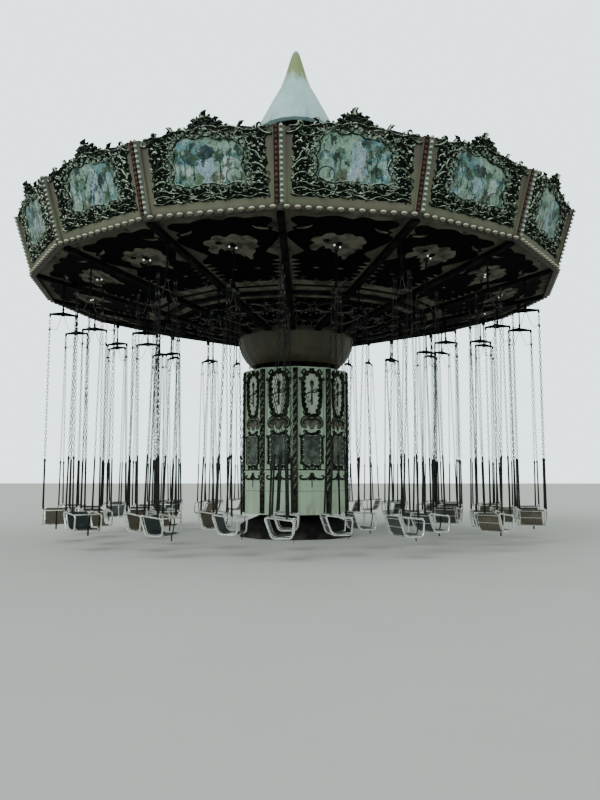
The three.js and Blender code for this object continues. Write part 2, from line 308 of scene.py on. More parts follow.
class Finish(Graph):
    def __init__(self, name):
        self.material = bpy.data.materials.new(name)
        self.material.use_nodes = True
        super().__init__(self.material.node_tree)
        self.tree.nodes.clear()
        self.place = self.node("ShaderNodeTexCoord", take="Object")

    def noise(self, scale, detail=3, stretch=(1, 1, 1), rough=0.55):
        where = self.node("ShaderNodeMapping", None, {"Vector": self.place, "Scale": stretch})
        return self.node("ShaderNodeTexNoise", None,
                         {"Vector": where, "Scale": scale, "Detail": detail, "Roughness": rough})

    def rise(self, vector):
        return self.node("ShaderNodeSeparateXYZ", None, {0: vector}, take="Z")

    def above(self, low, high, ragged=0):
        """0 under a height of the ride and 1 over it."""
        tall = self.rise(self.place)
        return (tall + ragged if ragged else tall).between(low, high)

    def upward(self):
        """How far a face looks up. The carving and some lamps use it for painted light on such faces and
        painted shade on faces that look down.
        """
        return self.rise(self.node("ShaderNodeNewGeometry", take="Normal"))

    def kept(self, name, take="Fac"):
        """What the mesh keeps under a name: its ridge as a number, or its tint as a colour."""
        return self.node("ShaderNodeAttribute", {"attribute_name": name}, take=take)

    def mix(self, first, second, factor):
        return self.node("ShaderNodeMix", {"data_type": "RGBA"}, {0: factor, 6: first, 7: second}, take=2)

    def coated(self, colour, *coats):
        """Coats of paint over a colour, each one a colour and its mask."""
        for coat, mask in coats:
            colour = self.mix(colour, coat, mask)
        return colour

    def streaks(self, scale):
        """Rain streaks: noise that is drawn out downwards."""
        return self.noise(scale, 4, (1, 1, 0.06)).between(0.42, 0.72)

    def done(self, colour, roughness, height=None, lift=0.002, **constants):
        sockets = {"Base Color": colour, "Roughness": roughness, **constants}
        if height is not None:
            sockets["Normal"] = self.node("ShaderNodeBump", None, {"Height": height, "Distance": lift})
        shader = self.node("ShaderNodeBsdfPrincipled", None, sockets)
        self.plug(self.tree.nodes.new("ShaderNodeOutputMaterial").inputs["Surface"], shader)
        return self.material


print("Matt finishes keep a specular level of", MATT["Specular IOR Level"])


# %% A weathered finish of two colours
def weathered(name, pattern, colours, steps, rough, grain, lift, *coats, **constants):
    """Two colours mixed by a cloudy pattern, with coats over them: dirt and rust, and on some
    finishes painted shade and painted highlights. The pattern and the grain are a noise's scale
    and detail, the steps are where the second colour starts and is full, and a coat's mask is
    worked out from the finish and its cloud. Roughness grows with the cloud, and the grain, or
    the cloud where there is none, lifts the paint."""
    f = Finish(name)
    cloud = f.noise(*pattern)
    colour = f.mix(*colours, cloud.between(*steps))
    colour = f.coated(colour, *((coat, mask(f, cloud)) for coat, mask in coats))
    bump = grain(f) if callable(grain) else f.noise(*grain) if grain else cloud
    return f.done(colour, rough[0] + rough[1] * cloud, bump, lift, **constants)


# %% [markdown]
# ## Camera, floor and light
# The photograph was taken from eye height, about 18 m from the column, with a slightly wide
# lens that points a little upwards. A picture of a sky could light the ride, but the
# photograph's sky is plain and pale. So a pale floor and a pale sky give soft light from all
# round, and one broad lamp models the relief of the carving.

# %% Camera
camera_data = bpy.data.cameras.new("camera")
camera_data.sensor_width = camera_data.sensor_height = 36
camera_data.lens = 32.85
camera = linked("camera", camera_data)
camera.location = (0.762, -17.954, 1.4)
camera.rotation_euler = (radians(90 + 6.06), 0, radians(2.09))
bpy.context.scene.camera = camera
print("The camera stands", round(camera.location.xy.length, 2), "m from the column")

# %% Floor
FLOOR_HALF = 160
floor_finish = Finish("pale_floor")
dust = floor_finish.noise(0.6, 4)
floor_paint = floor_finish.done(floor_finish.mix((0.62, 0.63, 0.62), (0.68, 0.69, 0.68), dust), 0.8)
floor_form = Form()
plate(floor_form, box(-FLOOR_HALF, FLOOR_HALF, -FLOOR_HALF, FLOOR_HALF), -0.05, -0.001)
floor = linked("floor", floor_form.mesh("floor", floor_paint))
print("The floor is", 2 * FLOOR_HALF, "m wide")

# %% Sky and lamp
sky = bpy.data.worlds.new("pale_sky")
sky.use_nodes = True
light = Graph(sky.node_tree)
sky.node_tree.nodes.clear()
soft = light.node("ShaderNodeBackground", None, {"Color": (0.78, 0.86, 0.80), "Strength": 0.9})
bright = light.node("ShaderNodeBackground", None, {"Color": (0.84, 0.98, 1.0), "Strength": 2.6})
seen = light.node("ShaderNodeLightPath", take="Is Camera Ray")
both = light.node("ShaderNodeMixShader", None, {0: seen, 1: soft, 2: bright})
light.plug(sky.node_tree.nodes.new("ShaderNodeOutputWorld").inputs["Surface"], both)
bpy.context.scene.world = sky
lamp_data = bpy.data.lights.new("soft_lamp", "SUN")
lamp_data.energy = 1.1
lamp_data.angle = radians(40)
lamp = linked("soft_lamp", lamp_data)
lamp.rotation_euler = (radians(52), 0, radians(-35))
print("A pale sky and one soft lamp are set")

# %% [markdown]
# ## Paint for the solids
# The CAD shapes that stay in view only need their finish. Each one is a short recipe of the
# same few ingredients, in the colours that the photograph shows: olive grey boards, a pale
# mint column, a brown bowl, black steel and an ice white cap with a yellowed tip. An image
# could carry the paint too, but noise needs no unwrapping and never repeats.

# %% Finishes of the column and base
def paint(material, *nodes):
    for node in nodes:
        slots = frame["nodes"][node].data.materials
        slots.clear()
        slots.append(material)


def seam(f):
    """The joint between the column's skirt and its panels."""
    return f.above(1.08, 1.086) * (1 - f.above(1.094, 1.1))


def chips(f):
    return f.noise(26, 4).between(0.66, 0.72)


steel_paint = weathered(
    "dark_steel_paint", (4, 5), ((0.004, 0.005, 0.005), (0.016, 0.018, 0.015)), (0.4, 0.75),
    (0.6, 0.3), lambda f: f.noise(90, 2) - chips(f), 0.0008,
    ((0.05, 0.028, 0.014), lambda f, cloud: chips(f) * 0.6), **DEAD_MATT)
paint(steel_paint, "slew_ring", "crown_mast", "sweep_frame")
paint(weathered(
    "black_base_paint", (3, 5), ((0.005, 0.006, 0.006), (0.0175, 0.018, 0.0165)), (0.45, 0.75),
    (0.55, 0.3), (40, 3), 0.001,
    ((0.10, 0.09, 0.07), lambda f, cloud: (1 - f.above(0.0, 0.22)) * cloud.between(0.3, 0.7) * 0.6),
    **MATT), "plinth")
paint(weathered(
    "column_mint_paint", (1.7, 5), ((0.39, 0.56, 0.41), (0.51, 0.68, 0.52)), (0.3, 0.7),
    (0.38, 0.25), lambda f: f.noise(60, 2) * 0.3 - seam(f), 0.0015,
    ((0.24, 0.30, 0.22), lambda f, cloud: f.streaks(9) * 0.4),
    ((0.12, 0.14, 0.11), lambda f, cloud: seam(f) * 0.8),
    ((0.26, 0.17, 0.09), lambda f, cloud: (
        (1 - f.above(0.55, 1.0)) * f.noise(5, 4, (1, 1, 0.2)).between(0.5, 0.68) * 0.5)),
), "column_skirt", "column_panels")
paint(weathered(
    "bowl_brown_paint", (2.2, 5), ((0.030, 0.026, 0.013), (0.066, 0.056, 0.030)), (0.3, 0.75),
    (0.4, 0.25), (35, 3), 0.001,
    ((0.025, 0.02, 0.016), lambda f, cloud: f.streaks(8) * 0.6),
    ((0.17, 0.16, 0.13), lambda f, cloud: f.above(4.765, 4.79) * (0.5 + 0.5 * cloud))), "bowl")
print("The column's paints are on")

# %% Finishes of the crown
# The carving's near-black, which also stands for painted shade, and the pale green of its painted highlights.
ORNAMENT_DARK = (0.003, 0.006, 0.004)
ORNAMENT_HIGHLIGHT = (0.70, 0.86, 0.67)


def cap_white():
    f = Finish("cap_white_paint")
    cloud = f.noise(1.5, 4)
    drips = f.noise(5.5, 3, (1, 1, 0.12)) * 1.5
    yellowed = f.above(12.2, 12.6, ragged=drips)
    colour = f.coated(
        f.mix((0.40, 0.66, 0.68), (0.56, 0.82, 0.86), cloud.between(0.3, 0.7)),
        (f.mix((0.34, 0.42, 0.20), (0.24, 0.29, 0.13), cloud), yellowed),
        ((0.30, 0.36, 0.36), f.above(12.25, 12.38)),
        ((0.17, 0.21, 0.21), (1 - f.above(10.17, 10.7)) * f.streaks(8) * 0.45))
    return f.done(colour, 0.32 + 0.3 * yellowed, f.noise(30, 3) + yellowed, 0.001)


paint(cap_white(), "crown_cap")
paint(weathered(
    "board_olive_paint", (1.1, 5), ((0.125, 0.135, 0.085), (0.17, 0.175, 0.12)), (0.3, 0.72),
    (0.5, 0.25), (50, 3), 0.0012,
    ((0.16, 0.125, 0.10), lambda f, cloud: f.noise(0.55, 2).between(0.52, 0.66) * 0.35),
    ((0.08, 0.085, 0.06), lambda f, cloud: f.streaks(6) * 0.3),
    # Painted shade under the crest: greyer and darker towards the top of the board.
    ((0.105, 0.088, 0.078), lambda f, cloud: f.above(6.5, 7.15, ragged=0.5 * cloud) * 0.75),
    ((0.07, 0.07, 0.05), lambda f, cloud: (1 - f.above(5.92, 6.0)) * 0.5),
    # Painted shade: above 7.1 m the crest is as black as the carving's ground.
    (ORNAMENT_DARK, lambda f, cloud: f.above(7.1, 7.15))), "crown_boards")
paint(weathered(
    "ceiling_paint", (1.3, 5), ((0.055, 0.053, 0.042), (0.11, 0.10, 0.08)), (0.3, 0.7),
    (0.8, 0.1), (30, 3), 0.001,
    ((0.008, 0.008, 0.007), lambda f, cloud: f.noise(4, 5).between(0.5, 0.66) * 0.6),
    **DEAD_MATT), "ceiling")
paint(weathered(
    "rail_brown_paint", (7, 5), ((0.014, 0.012, 0.009), (0.042, 0.027, 0.018)), (0.45, 0.65),
    (0.55, 0.2), None, 0.001,
    ((0.10, 0.10, 0.072), lambda f, cloud: f.noise(2.5, 4).between(0.55, 0.7) * 0.5)), "rim_rail")
paint(weathered(
    "weathered_roof_sheet", (0.8, 6), ((0.30, 0.33, 0.31), (0.46, 0.49, 0.46)), (0.3, 0.7),
    (0.5, 0.3), (14, 4), 0.002,
    ((0.12, 0.13, 0.11), lambda f, cloud: f.noise(2.5, 5, (1, 1, 0.3)).between(0.52, 0.75) * 0.6)), "roof")
print("The crown's paints are on")

# %% [markdown]
# ## Copies round the axis
# The crown has sixteen equal bays and the column ten equal faces. Building each bay in Python
# would be slow to change, and Array modifiers would leave the copies tied to an empty. A
# Geometry Nodes tree instead copies one bay round the upright axis, and another sets a lamp
# on every point of a mesh. Each tree has named sizes, makes real geometry of its copies at
# its end and gives them their finish.

# %% The recipe class
class Recipe(Graph):
    def __init__(self, name, **sizes):
        super().__init__(bpy.data.node_groups.new(name, "GeometryNodeTree"))
        sockets = self.tree.interface
        sockets.new_socket("Geometry", in_out="INPUT", socket_type="NodeSocketGeometry")
        for key, value in sizes.items():
            kind = "NodeSocketInt" if isinstance(value, int) else "NodeSocketFloat"
            sockets.new_socket(key, in_out="INPUT", socket_type=kind).default_value = value
        sockets.new_socket("Material", in_out="INPUT", socket_type="NodeSocketMaterial")
        sockets.new_socket("Geometry", in_out="OUTPUT", socket_type="NodeSocketGeometry")
        self.given = self.tree.nodes.new("NodeGroupInput")

    def size(self, key):
        return Value(self, self.given.outputs[key])

    def ends(self, points, instance, **more):
        """Sets the instance on the points, makes it real geometry and gives it its finish."""
        copies = {"Points": points, "Instance": instance, **more}
        copies = self.node("GeometryNodeInstanceOnPoints", None, copies)
        whole = self.node("GeometryNodeRealizeInstances", None, {0: copies})
        finish = {"Geometry": whole, "Material": self.size("Material")}
        painted = self.node("GeometryNodeSetMaterial", None, finish)
        self.plug(self.tree.nodes.new("NodeGroupOutput").inputs[0], painted)

    def makes(self, name, start, material, **sizes):
        """Runs the tree on a start mesh and returns the plain mesh that it makes."""
        holder = linked("holder", start)
        modifier = holder.modifiers.new("recipe", "NODES")
        modifier.node_group = self.tree
        given = {**sizes, "Material": material}
        for item in self.tree.interface.items_tree:
            if item.in_out == "INPUT" and item.name in given:
                modifier[item.identifier] = given[item.name]
        graph = bpy.context.evaluated_depsgraph_get()
        made = holder.evaluated_get(graph)
        mesh = bpy.data.meshes.new_from_object(made, preserve_all_data_layers=True, depsgraph=graph)
        mesh.name = name
        holder.modifiers.clear()
        bpy.data.objects.remove(holder)
        print(name, "has", triangles(mesh), "triangles")
        return mesh


# %% Recipes for copies, globes and cups
def turn_about_z(recipe, angle):
    return recipe.node("FunctionNodeAxisAngleToRotation", None, {"Axis": (0, 0, 1), "Angle": angle})


around = Recipe("copies_round_the_axis", count=SIDES)
axis_points = around.node("GeometryNodePoints", None, {"Count": around.size("count")})
bay_turn = around.node("GeometryNodeInputIndex") * tau / around.size("count")
around.ends(axis_points, around.size("Geometry"), Rotation=turn_about_z(around, bay_turn))

globes = Recipe("globes_on_points", radius=0.03, squat=1.0, rise=1.0)
globe = {"Segments": 8, "Rings": 5, "Radius": globes.size("radius")}
globe = globes.node("GeometryNodeMeshUVSphere", None, globe)
globe_shape = {"X": 1.0, "Y": globes.size("squat"), "Z": globes.size("rise")}
globe_shape = globes.node("ShaderNodeCombineXYZ", None, globe_shape)
globe = globes.node("GeometryNodeTransform", None, {"Geometry": globe, "Scale": globe_shape})
globes.ends(globes.size("Geometry"), globes.node("GeometryNodeSetShadeSmooth", None, {"Geometry": globe}))

cups = Recipe("cups_on_points", radius=0.03, deep=0.02)
CUP_TAPER = 0.7
cup = {"Vertices": 8, "Radius Top": cups.size("radius") * CUP_TAPER, "Radius Bottom": cups.size("radius"),
       "Depth": cups.size("deep")}
cups.ends(cups.size("Geometry"), cups.node("GeometryNodeMeshCone", {"fill_type": "NGON"}, cup))
print("Recipes:", [group.name for group in bpy.data.node_groups])


# %% Places for recipes, and rings of pieces
def spots(places):
    """A mesh of loose points, for a recipe to set things on."""
    mesh = bpy.data.meshes.new("spots")
    mesh.from_pydata(places, [], [])
    return mesh


def stood(azimuth, radius, height, lean=0.0):
    """The plane of a wall: X runs along it, Y up it and Z out of it, with a lean outwards."""
    along = Vector((cos(azimuth), sin(azimuth), 0))
    out = Vector((sin(azimuth), -cos(azimuth), 0))
    up = out * sin(lean) + Vector((0, 0, cos(lean)))
    place = Matrix((along, up, along.cross(up))).transposed().to_4x4()
    place.translation = out * radius + Vector((0, 0, height))
    return place


def ring_piece(name, form, place, material, slot="board_paint", count=SIDES, body="crown"):
    """Copies one bay's form round the axis and puts the whole ring on its body."""
    bay_mesh = form.mesh("one_bay", material, place=place)
    show(name, around.makes(name, bay_mesh, material, count=count), body)


BOARD_LEAN = atan((TOP_R - RIM_R) * APOTHEM / (TOP_Z - RIM_Z))
board = stood(BAY / 2, RIM_R * APOTHEM, RIM_Z, BOARD_LEAN)
print("The boards lean", round(degrees(BOARD_LEAN), 1), "degrees outwards")

# %% [markdown]
# ## Carving
# Rococo carving is made of a few strokes: C scrolls and S scrolls with rolled ends, commas,
# leaves, shells and flowers. It could be sculpted, but a board holds hundreds of strokes, so
# each one is laid by a call. A scroll's line is walked step by step, with tight turns at its
# eyes and a lazy bend between them, and then laid from one point to another on the board. A
# flat-backed section follows the line, wide in the middle and narrow in the eyes.

# %% Lines of the scrolls
EYE = [(50, 0.8**n) for n in range(5)]
UNWOUND = EYE[::-1]
BENDS = {
    "C": UNWOUND + [(12, 1.4)] * 4 + EYE,
    "S": UNWOUND + [(22, 1.4)] * 2 + [(-22, 1.4)] * 2 + [(-turn, step) for turn, step in EYE],
    "comma": UNWOUND[2:] + [(24, 1.2), (8, 1.6)],
}
ROUND = [(-1, 0), (-0.4, 0.9), (0.4, 0.9), (1, 0)]
SHARP = [(-1, 0), (0, 1), (1, 0)]
KNOB_TALL = 0.6


def walked(bends):
    """Points of a line of turns and steps, sized so that it runs from (0, 0) to (1, 0)."""
    here, heading, line = 0j, 0.0, [0j]
    for turn, step in bends:
        heading += radians(turn)
        here += step * complex(cos(heading), sin(heading))
        line.append(here)
    return [p / here for p in line]


SCROLLS = {kind: walked(bends) for kind, bends in BENDS.items()}
print("Steps of each scroll:", {kind: len(bends) for kind, bends in BENDS.items()})


# %% Sections that follow a line
def laid(kind, start, end, flip=False):
    """A scroll's line from one point of the board to another."""
    a, b = complex(*start), complex(*end)
    line = [p.conjugate() if flip else p for p in SCROLLS[kind]]
    return [((a + p * (b - a)).real, (a + p * (b - a)).imag) for p in line]


def heading_at(line, i):
    """The way that a flat line runs at one of its points."""
    after, before = line[min(i + 1, len(line) - 1)], line[max(i - 1, 0)]
    return Vector((after[0] - before[0], after[1] - before[1])).normalized()


def strip(form, line, widths, heights, section=ROUND, base=-0.002, gleam=1.0):
    """A flat-backed section that follows a line on the board."""
    rings, ridges = [], []
    for i, (x, y) in enumerate(line):
        along = heading_at(line, i)
        rings.append([])
        for side, up in section:
            reach = side * widths[i] / 2
            rings[-1].append((x - along.y * reach, y + along.x * reach, base + up * heights[i]))
            ridges.append(up * gleam)
    form.loft(rings, ridges=ridges)


print("A C scroll from 0 to 1 m reaches", round(max(y for _, y in laid("C", (0, 0), (1, 0))), 2), "m up")


# %% Scrolls, leaves and flowers
def scroll(form, kind, start, end, wide, flip, section=ROUND, **more):
    line = laid(kind, start, end, flip)
    share = [i / (len(line) - 1) for i in range(len(line))]
    if kind == "comma":
        widths = [wide * (0.3 + 0.7 * sin(pi * min(1, 0.1 + 0.9 * t)) ** 0.7) * (1.02 - t**4) for t in share]
    else:
        widths = [wide * (0.36 + 0.64 * sin(pi * t)) for t in share]
    strip(form, line, widths, [0.75 * w for w in widths], section, **more)


def scrolls_both_sides(form, strokes, **more):
    """Lays scrolls on the right half, and their mirror images on the left."""
    for side in (-1, 1):
        for kind, (ax, ay), (bx, by), wide in strokes:
            scroll(form, kind, (side * ax, ay), (side * bx, by), wide, side < 0, SHARP, **more)


def leaf(form, foot, tip, wide, bend, tall=0.6, base=-0.002, gleam=0.9):
    """A ragged leaf with a sharp midrib, bent to one side."""
    a, b = Vector(foot), Vector(tip)
    middle = (a + b) / 2 + Vector((a.y - b.y, b.x - a.x)) * bend
    line = [tuple(p) for p in bow(a, middle, b, (0, 0.2, 0.4, 0.6, 0.8, 1))]
    widths = [wide * w for w in (0.35, 0.95, 0.7, 0.9, 0.5, 0.04)]
    strip(form, line, widths, [w * tall for w in widths], SHARP, base, gleam)


def palm(form, foot, heading, size, count, spread, wide, **more):
    """A fan of leaves. The heading is in degrees, from the board's X towards its Y."""
    for n in range(count):
        share = n / (count - 1) - 0.5
        angle = radians(heading + share * spread)
        reach = size * (1 - 0.9 * share * share)
        tip = (foot[0] + reach * cos(angle), foot[1] + reach * sin(angle))
        leaf(form, foot, tip, size * wide, bend=0.35 * share, **more)


def boss(form, x, y, radius, petals=1, gleam=1.0, base=-0.002):
    """A domed knob, or with more petals a flower."""
    count = 6 if petals == 1 else 2 * petals
    rings, ridges = [], []
    for r, h, wave in ((1.0, 0.0, 0.0), (0.95, 0.45, 0.32), (0.35, 1.0, 0.0)):
        rings.append([])
        for n in range(count):
            turn = tau * n / count
            reach = radius * r * (1 - wave * (n % 2) * (petals > 1))
            rings[-1].append((x + reach * cos(turn), y + reach * sin(turn), base + h * radius * KNOB_TALL))
            ridges.append(h * gleam)
    form.loft(rings, ridges=ridges)


tried = Form()
boss(tried, 0, 0, 1, petals=5)
print("A flower has", len(tried.faces), "faces")

# %% [markdown]
# ## The carved boards
# A painted field with a wavy outline lies in the middle of each board, on a black ground with
# a ragged edge, which is painted shade round and between the strokes. Scrolls follow the
# field's outline, larger ones fill the corners, flowers lie in the sides, long ribbons run
# along the foot and a crest of leaves flames over the top.
# Commas and fine dim curls fill what is left, set by a seeded random choice, because a carver
# leaves no plain patch. Each board could be carved on its own, but the real ones seem to
# differ only in their scenes, so one is drawn flat and copied sixteen times.

# %% Outline of the painted field
FIELD = [
    (0.0, 0.42), (0.15, 0.39), (0.3, 0.36), (0.43, 0.41), (0.58, 0.38), (0.7, 0.44), (0.69, 0.6),
    (0.62, 0.72), (0.69, 0.84), (0.67, 0.98), (0.6, 1.08), (0.48, 1.17), (0.33, 1.2), (0.21, 1.18),
    (0.1, 1.26), (-0.06, 1.28), (-0.17, 1.22), (-0.29, 1.27), (-0.42, 1.28), (-0.54, 1.2), (-0.62, 1.09),
    (-0.6, 0.96), (-0.68, 0.84), (-0.62, 0.7), (-0.68, 0.56), (-0.6, 0.45), (-0.45, 0.4), (-0.3, 0.36),
    (-0.15, 0.4),
]
field_line = smoothed(FIELD, 3)
FIELD_MIDDLE = Vector((0.0, 0.82))


def grown(outline, middle, share):
    """An outline made larger about its middle."""
    return [tuple(middle + (Vector(p) - middle) * share) for p in outline]


def inside(point, outline):
    x, y = point
    crossings = 0
    for (ax, ay), (bx, by) in zip(outline, outline[1:] + outline[:1]):
        if (ay > y) != (by > y) and x < ax + (y - ay) * (bx - ax) / (by - ay):
            crossings += 1
    return crossings % 2 == 1


def evenly(outline, pitch):
    """Points at even steps along a closed outline."""
    loop = outline + outline[:1]
    whole = sum(dist(a, b) for a, b in zip(loop, loop[1:]))
    count = round(whole / pitch)
    places, run = [], 0.0
    for a, b in zip(loop, loop[1:]):
        long = dist(a, b)
        while len(places) < count and run + long >= len(places) * whole / count:
            t = (len(places) * whole / count - run) / long
            places.append((a[0] + (b[0] - a[0]) * t, a[1] + (b[1] - a[1]) * t))
        run += long
    return places


print("The field's outline has", len(field_line), "points")

# %% Where the carving of a board lies
CREST_LINE = [
    (-1.1, 1.26), (-0.98, 1.29), (-0.86, 1.27), (-0.72, 1.3), (-0.56, 1.34), (-0.4, 1.35), (-0.26, 1.33),
    (-0.1, 1.37), (0.06, 1.38), (0.22, 1.34), (0.38, 1.34), (0.54, 1.31), (0.7, 1.25), (0.86, 1.24),
    (0.98, 1.27), (1.1, 1.26),
]
RIBBONS = [
    [(-1.04, 0.2), (-0.86, 0.17), (-0.68, 0.23), (-0.5, 0.17), (-0.32, 0.23), (-0.12, 0.18), (0.1, 0.23),
     (0.3, 0.17), (0.5, 0.23), (0.7, 0.17), (0.88, 0.22), (1.04, 0.18)],
    [(-1.0, 0.27), (-0.84, 0.31), (-0.66, 0.26), (-0.46, 0.3), (-0.26, 0.25), (-0.06, 0.31), (0.14, 0.26),
     (0.34, 0.31), (0.54, 0.25), (0.74, 0.31), (0.9, 0.27), (1.02, 0.31)],
    [(-0.96, 0.37), (-0.84, 0.4), (-0.72, 0.36), (-0.56, 0.33)],
    [(0.96, 0.36), (0.84, 0.4), (0.74, 0.35), (0.6, 0.33)],
]
LARGE_SCROLLS = [  # kind, start, end, width, and whether it curls the other way
    ("C", (-0.98, 0.42), (-0.84, 0.5), 0.075, True), ("C", (-0.8, 0.72), (-0.94, 0.62), 0.085, False),
    ("S", (-1.0, 0.78), (-0.8, 0.86), 0.07, False), ("C", (-0.72, 0.98), (-0.74, 0.8), 0.06, False),
    ("C", (-0.9, 1.2), (-0.74, 1.2), 0.06, False), ("C", (-0.72, 1.22), (-0.58, 1.28), 0.06, False),
    ("C", (-1.13, 1.22), (-0.96, 1.31), 0.08, False), ("C", (1.13, 1.21), (0.97, 1.3), 0.075, True),
    ("C", (0.78, 1.04), (0.72, 1.14), 0.06, True), ("S", (0.54, 1.25), (0.74, 1.19), 0.06, True),
    ("S", (0.98, 0.8), (0.8, 0.86), 0.07, True), ("C", (0.8, 0.66), (0.93, 0.6), 0.085, True),
    ("C", (0.98, 0.44), (0.82, 0.5), 0.075, False), ("C", (0.86, 1.16), (1.0, 1.14), 0.06, False),
    ("C", (-0.15, 1.42), (-0.05, 1.49), 0.05, True), ("C", (0.15, 1.42), (0.05, 1.49), 0.05, False),
]
SLIM = 0.76  # the large scrolls' share of the widths above
CREST_LEAVES = [  # foot, tip, width and bend
    ((-0.98, 1.28), (-0.86, 1.34), 0.07, 0.5), ((-0.9, 1.27), (-0.94, 1.33), 0.05, -0.3),
    ((-0.7, 1.29), (-0.62, 1.38), 0.07, 0.4), ((-0.6, 1.3), (-0.72, 1.43), 0.09, -0.5),
    ((-0.5, 1.33), (-0.42, 1.4), 0.07, 0.4), ((-0.36, 1.34), (-0.4, 1.41), 0.06, -0.4),
    ((0.32, 1.34), (0.42, 1.38), 0.06, 0.4), ((0.46, 1.31), (0.5, 1.36), 0.05, -0.3),
    ((0.58, 1.28), (0.7, 1.41), 0.09, 0.5), ((0.66, 1.26), (0.78, 1.3), 0.06, -0.3),
    ((0.84, 1.23), (0.88, 1.33), 0.06, 0.4), ((0.94, 1.25), (1.02, 1.31), 0.05, -0.3),
    ((-0.19, 1.36), (-0.33, 1.42), 0.1, -0.5), ((-0.15, 1.42), (-0.27, 1.5), 0.1, -0.5),
    ((-0.1, 1.46), (-0.19, 1.55), 0.09, 0.5), ((-0.06, 1.5), (-0.1, 1.59), 0.07, -0.4),
    ((0.17, 1.36), (0.33, 1.41), 0.1, 0.5), ((0.14, 1.42), (0.26, 1.5), 0.1, 0.5),
    ((0.1, 1.46), (0.18, 1.54), 0.09, -0.5), ((0.06, 1.5), (0.12, 1.57), 0.07, 0.4),
    ((-0.01, 1.47), (0.05, 1.65), 0.13, 0.5), ((-0.04, 1.42), (-0.12, 1.5), 0.09, 0.3),
    ((0.04, 1.42), (0.1, 1.5), 0.09, -0.3), ((-0.16, 1.4), (-0.3, 1.46), 0.08, 0.4),
    ((0.15, 1.4), (0.3, 1.46), 0.08, -0.4), ((-0.07, 1.46), (-0.14, 1.57), 0.09, 0.3),
]
FLOWERS = [  # x, y and radius
    (-0.98, 1.1, 0.036), (-0.92, 1.03, 0.055), (-1.0, 0.94, 0.032), (-0.86, 0.92, 0.036), (-0.82, 1.1, 0.03),
    (-0.99, 0.66, 0.03), (-0.88, 0.4, 0.034), (0.9, 1.08, 0.034), (0.96, 0.98, 0.05), (0.84, 0.98, 0.034),
    (1.0, 0.86, 0.03), (0.94, 0.72, 0.034), (0.88, 0.41, 0.034), (0.0, 1.33, 0.05),
]
GROUND_RIGHT = [
    (0.0, 0.16), (0.5, 0.17), (0.86, 0.15), (1.04, 0.17), (1.03, 0.5), (1.06, 0.8), (1.05, 1.05), (1.1, 1.25),
]
GROUND_MIDDLE = Vector((0, 0.7))
RAGGED_PITCH, RAGGED_IN, RAGGED_OUT = 0.042, -0.045, 0.012
MOUND_RIGHT = [(0.06, 1.55), (0.13, 1.48), (0.23, 1.4), (0.3, 1.3)]
print("Large scrolls, leaves and flowers:", len(LARGE_SCROLLS), len(CREST_LEAVES), len(FLOWERS))


# %% Ground, scrolls and crest of one board
def rope(form, line, wide, steps=4, **more):
    """A soft wavy moulding that swells and thins along its way."""
    line = smoothed(line, steps, closed=False)
    widths = [wide * (0.8 + 0.3 * sin(1.7 * i)) for i in range(len(line))]
    strip(form, line, widths, [0.8 * w for w in widths], **more)


def black_ground(form):
    """Black plates for painted shade: behind the ornament, with a ragged edge, and behind the crest's knob.
    """
    left = [(-x, y) for x, y in reversed(GROUND_RIGHT)]
    outline = left[4:7] + GROUND_RIGHT + left[:4]
    chance = random.Random(11)
    ragged = [
        tuple(GROUND_MIDDLE + (Vector(spot) - GROUND_MIDDLE) * (1 + chance.uniform(RAGGED_IN, RAGGED_OUT)))
        for spot in evenly(outline, RAGGED_PITCH)
    ]
    plate(form, ragged, -0.001, 0.003, ridges=[0.0] * (2 * len(ragged)))
    mound = smoothed([(-x, y) for x, y in reversed(MOUND_RIGHT)] + MOUND_RIGHT, 2)
    plate(form, mound, -0.03, -0.014, ridges=[0.0] * (2 * len(mound)))


def carve_board(form):
    rim = grown(FIELD, FIELD_MIDDLE, 1.05)
    for n, (a, b) in enumerate(zip(rim, rim[1:] + rim[:1])):
        scroll(form, "C", a, b, 0.042, flip=True)
        if n % 2:
            out = (Vector(a) - FIELD_MIDDLE).normalized()
            foot = Vector(a) + out * 0.02
            leaf(form, foot, foot + out * 0.1, 0.07, 0.3)
    for kind, start, end, wide, flip in LARGE_SCROLLS:
        scroll(form, kind, start, end, SLIM * wide, flip)
    for line in RIBBONS:
        rope(form, line, 0.04, 3, base=0.014)
    rope(form, CREST_LINE, 0.055, base=0.0)
    rope(form, [(x * 0.97, y - 0.05 - 0.03 * sin(9 * x)) for x, y in CREST_LINE[1:-1]], 0.036, 3)
    for foot, tip, wide, bend in CREST_LEAVES:
        in_shade = abs(foot[0]) < 0.2 and tip[1] < 1.6
        leaf(form, foot, tip, wide, bend, base=-0.03, tall=0.9, gleam=0.34 if in_shade else 0.8)
    palm(form, (0.0, 0.25), 90, 0.13, 7, 170, 0.34)
    for x, y, radius in FLOWERS:
        boss(form, x, y, radius, petals=5, base=0.008)


ground, carving, sprigs = Form(), Form(), Form()
black_ground(ground)
carve_board(carving)
print("The large carving of a board has", len(carving.faces), "faces")

# %% Commas and curls where a board is plain
TRIES = 9000
PLAIN_HALF, PLAIN_LOW, PLAIN_HIGH = 1.02, 0.19, 1.24
CLEAR_OF_FIELD, OFF_LINE = 0.05, 0.9
BUD_SHARE, BUD_R = 0.14, 0.022


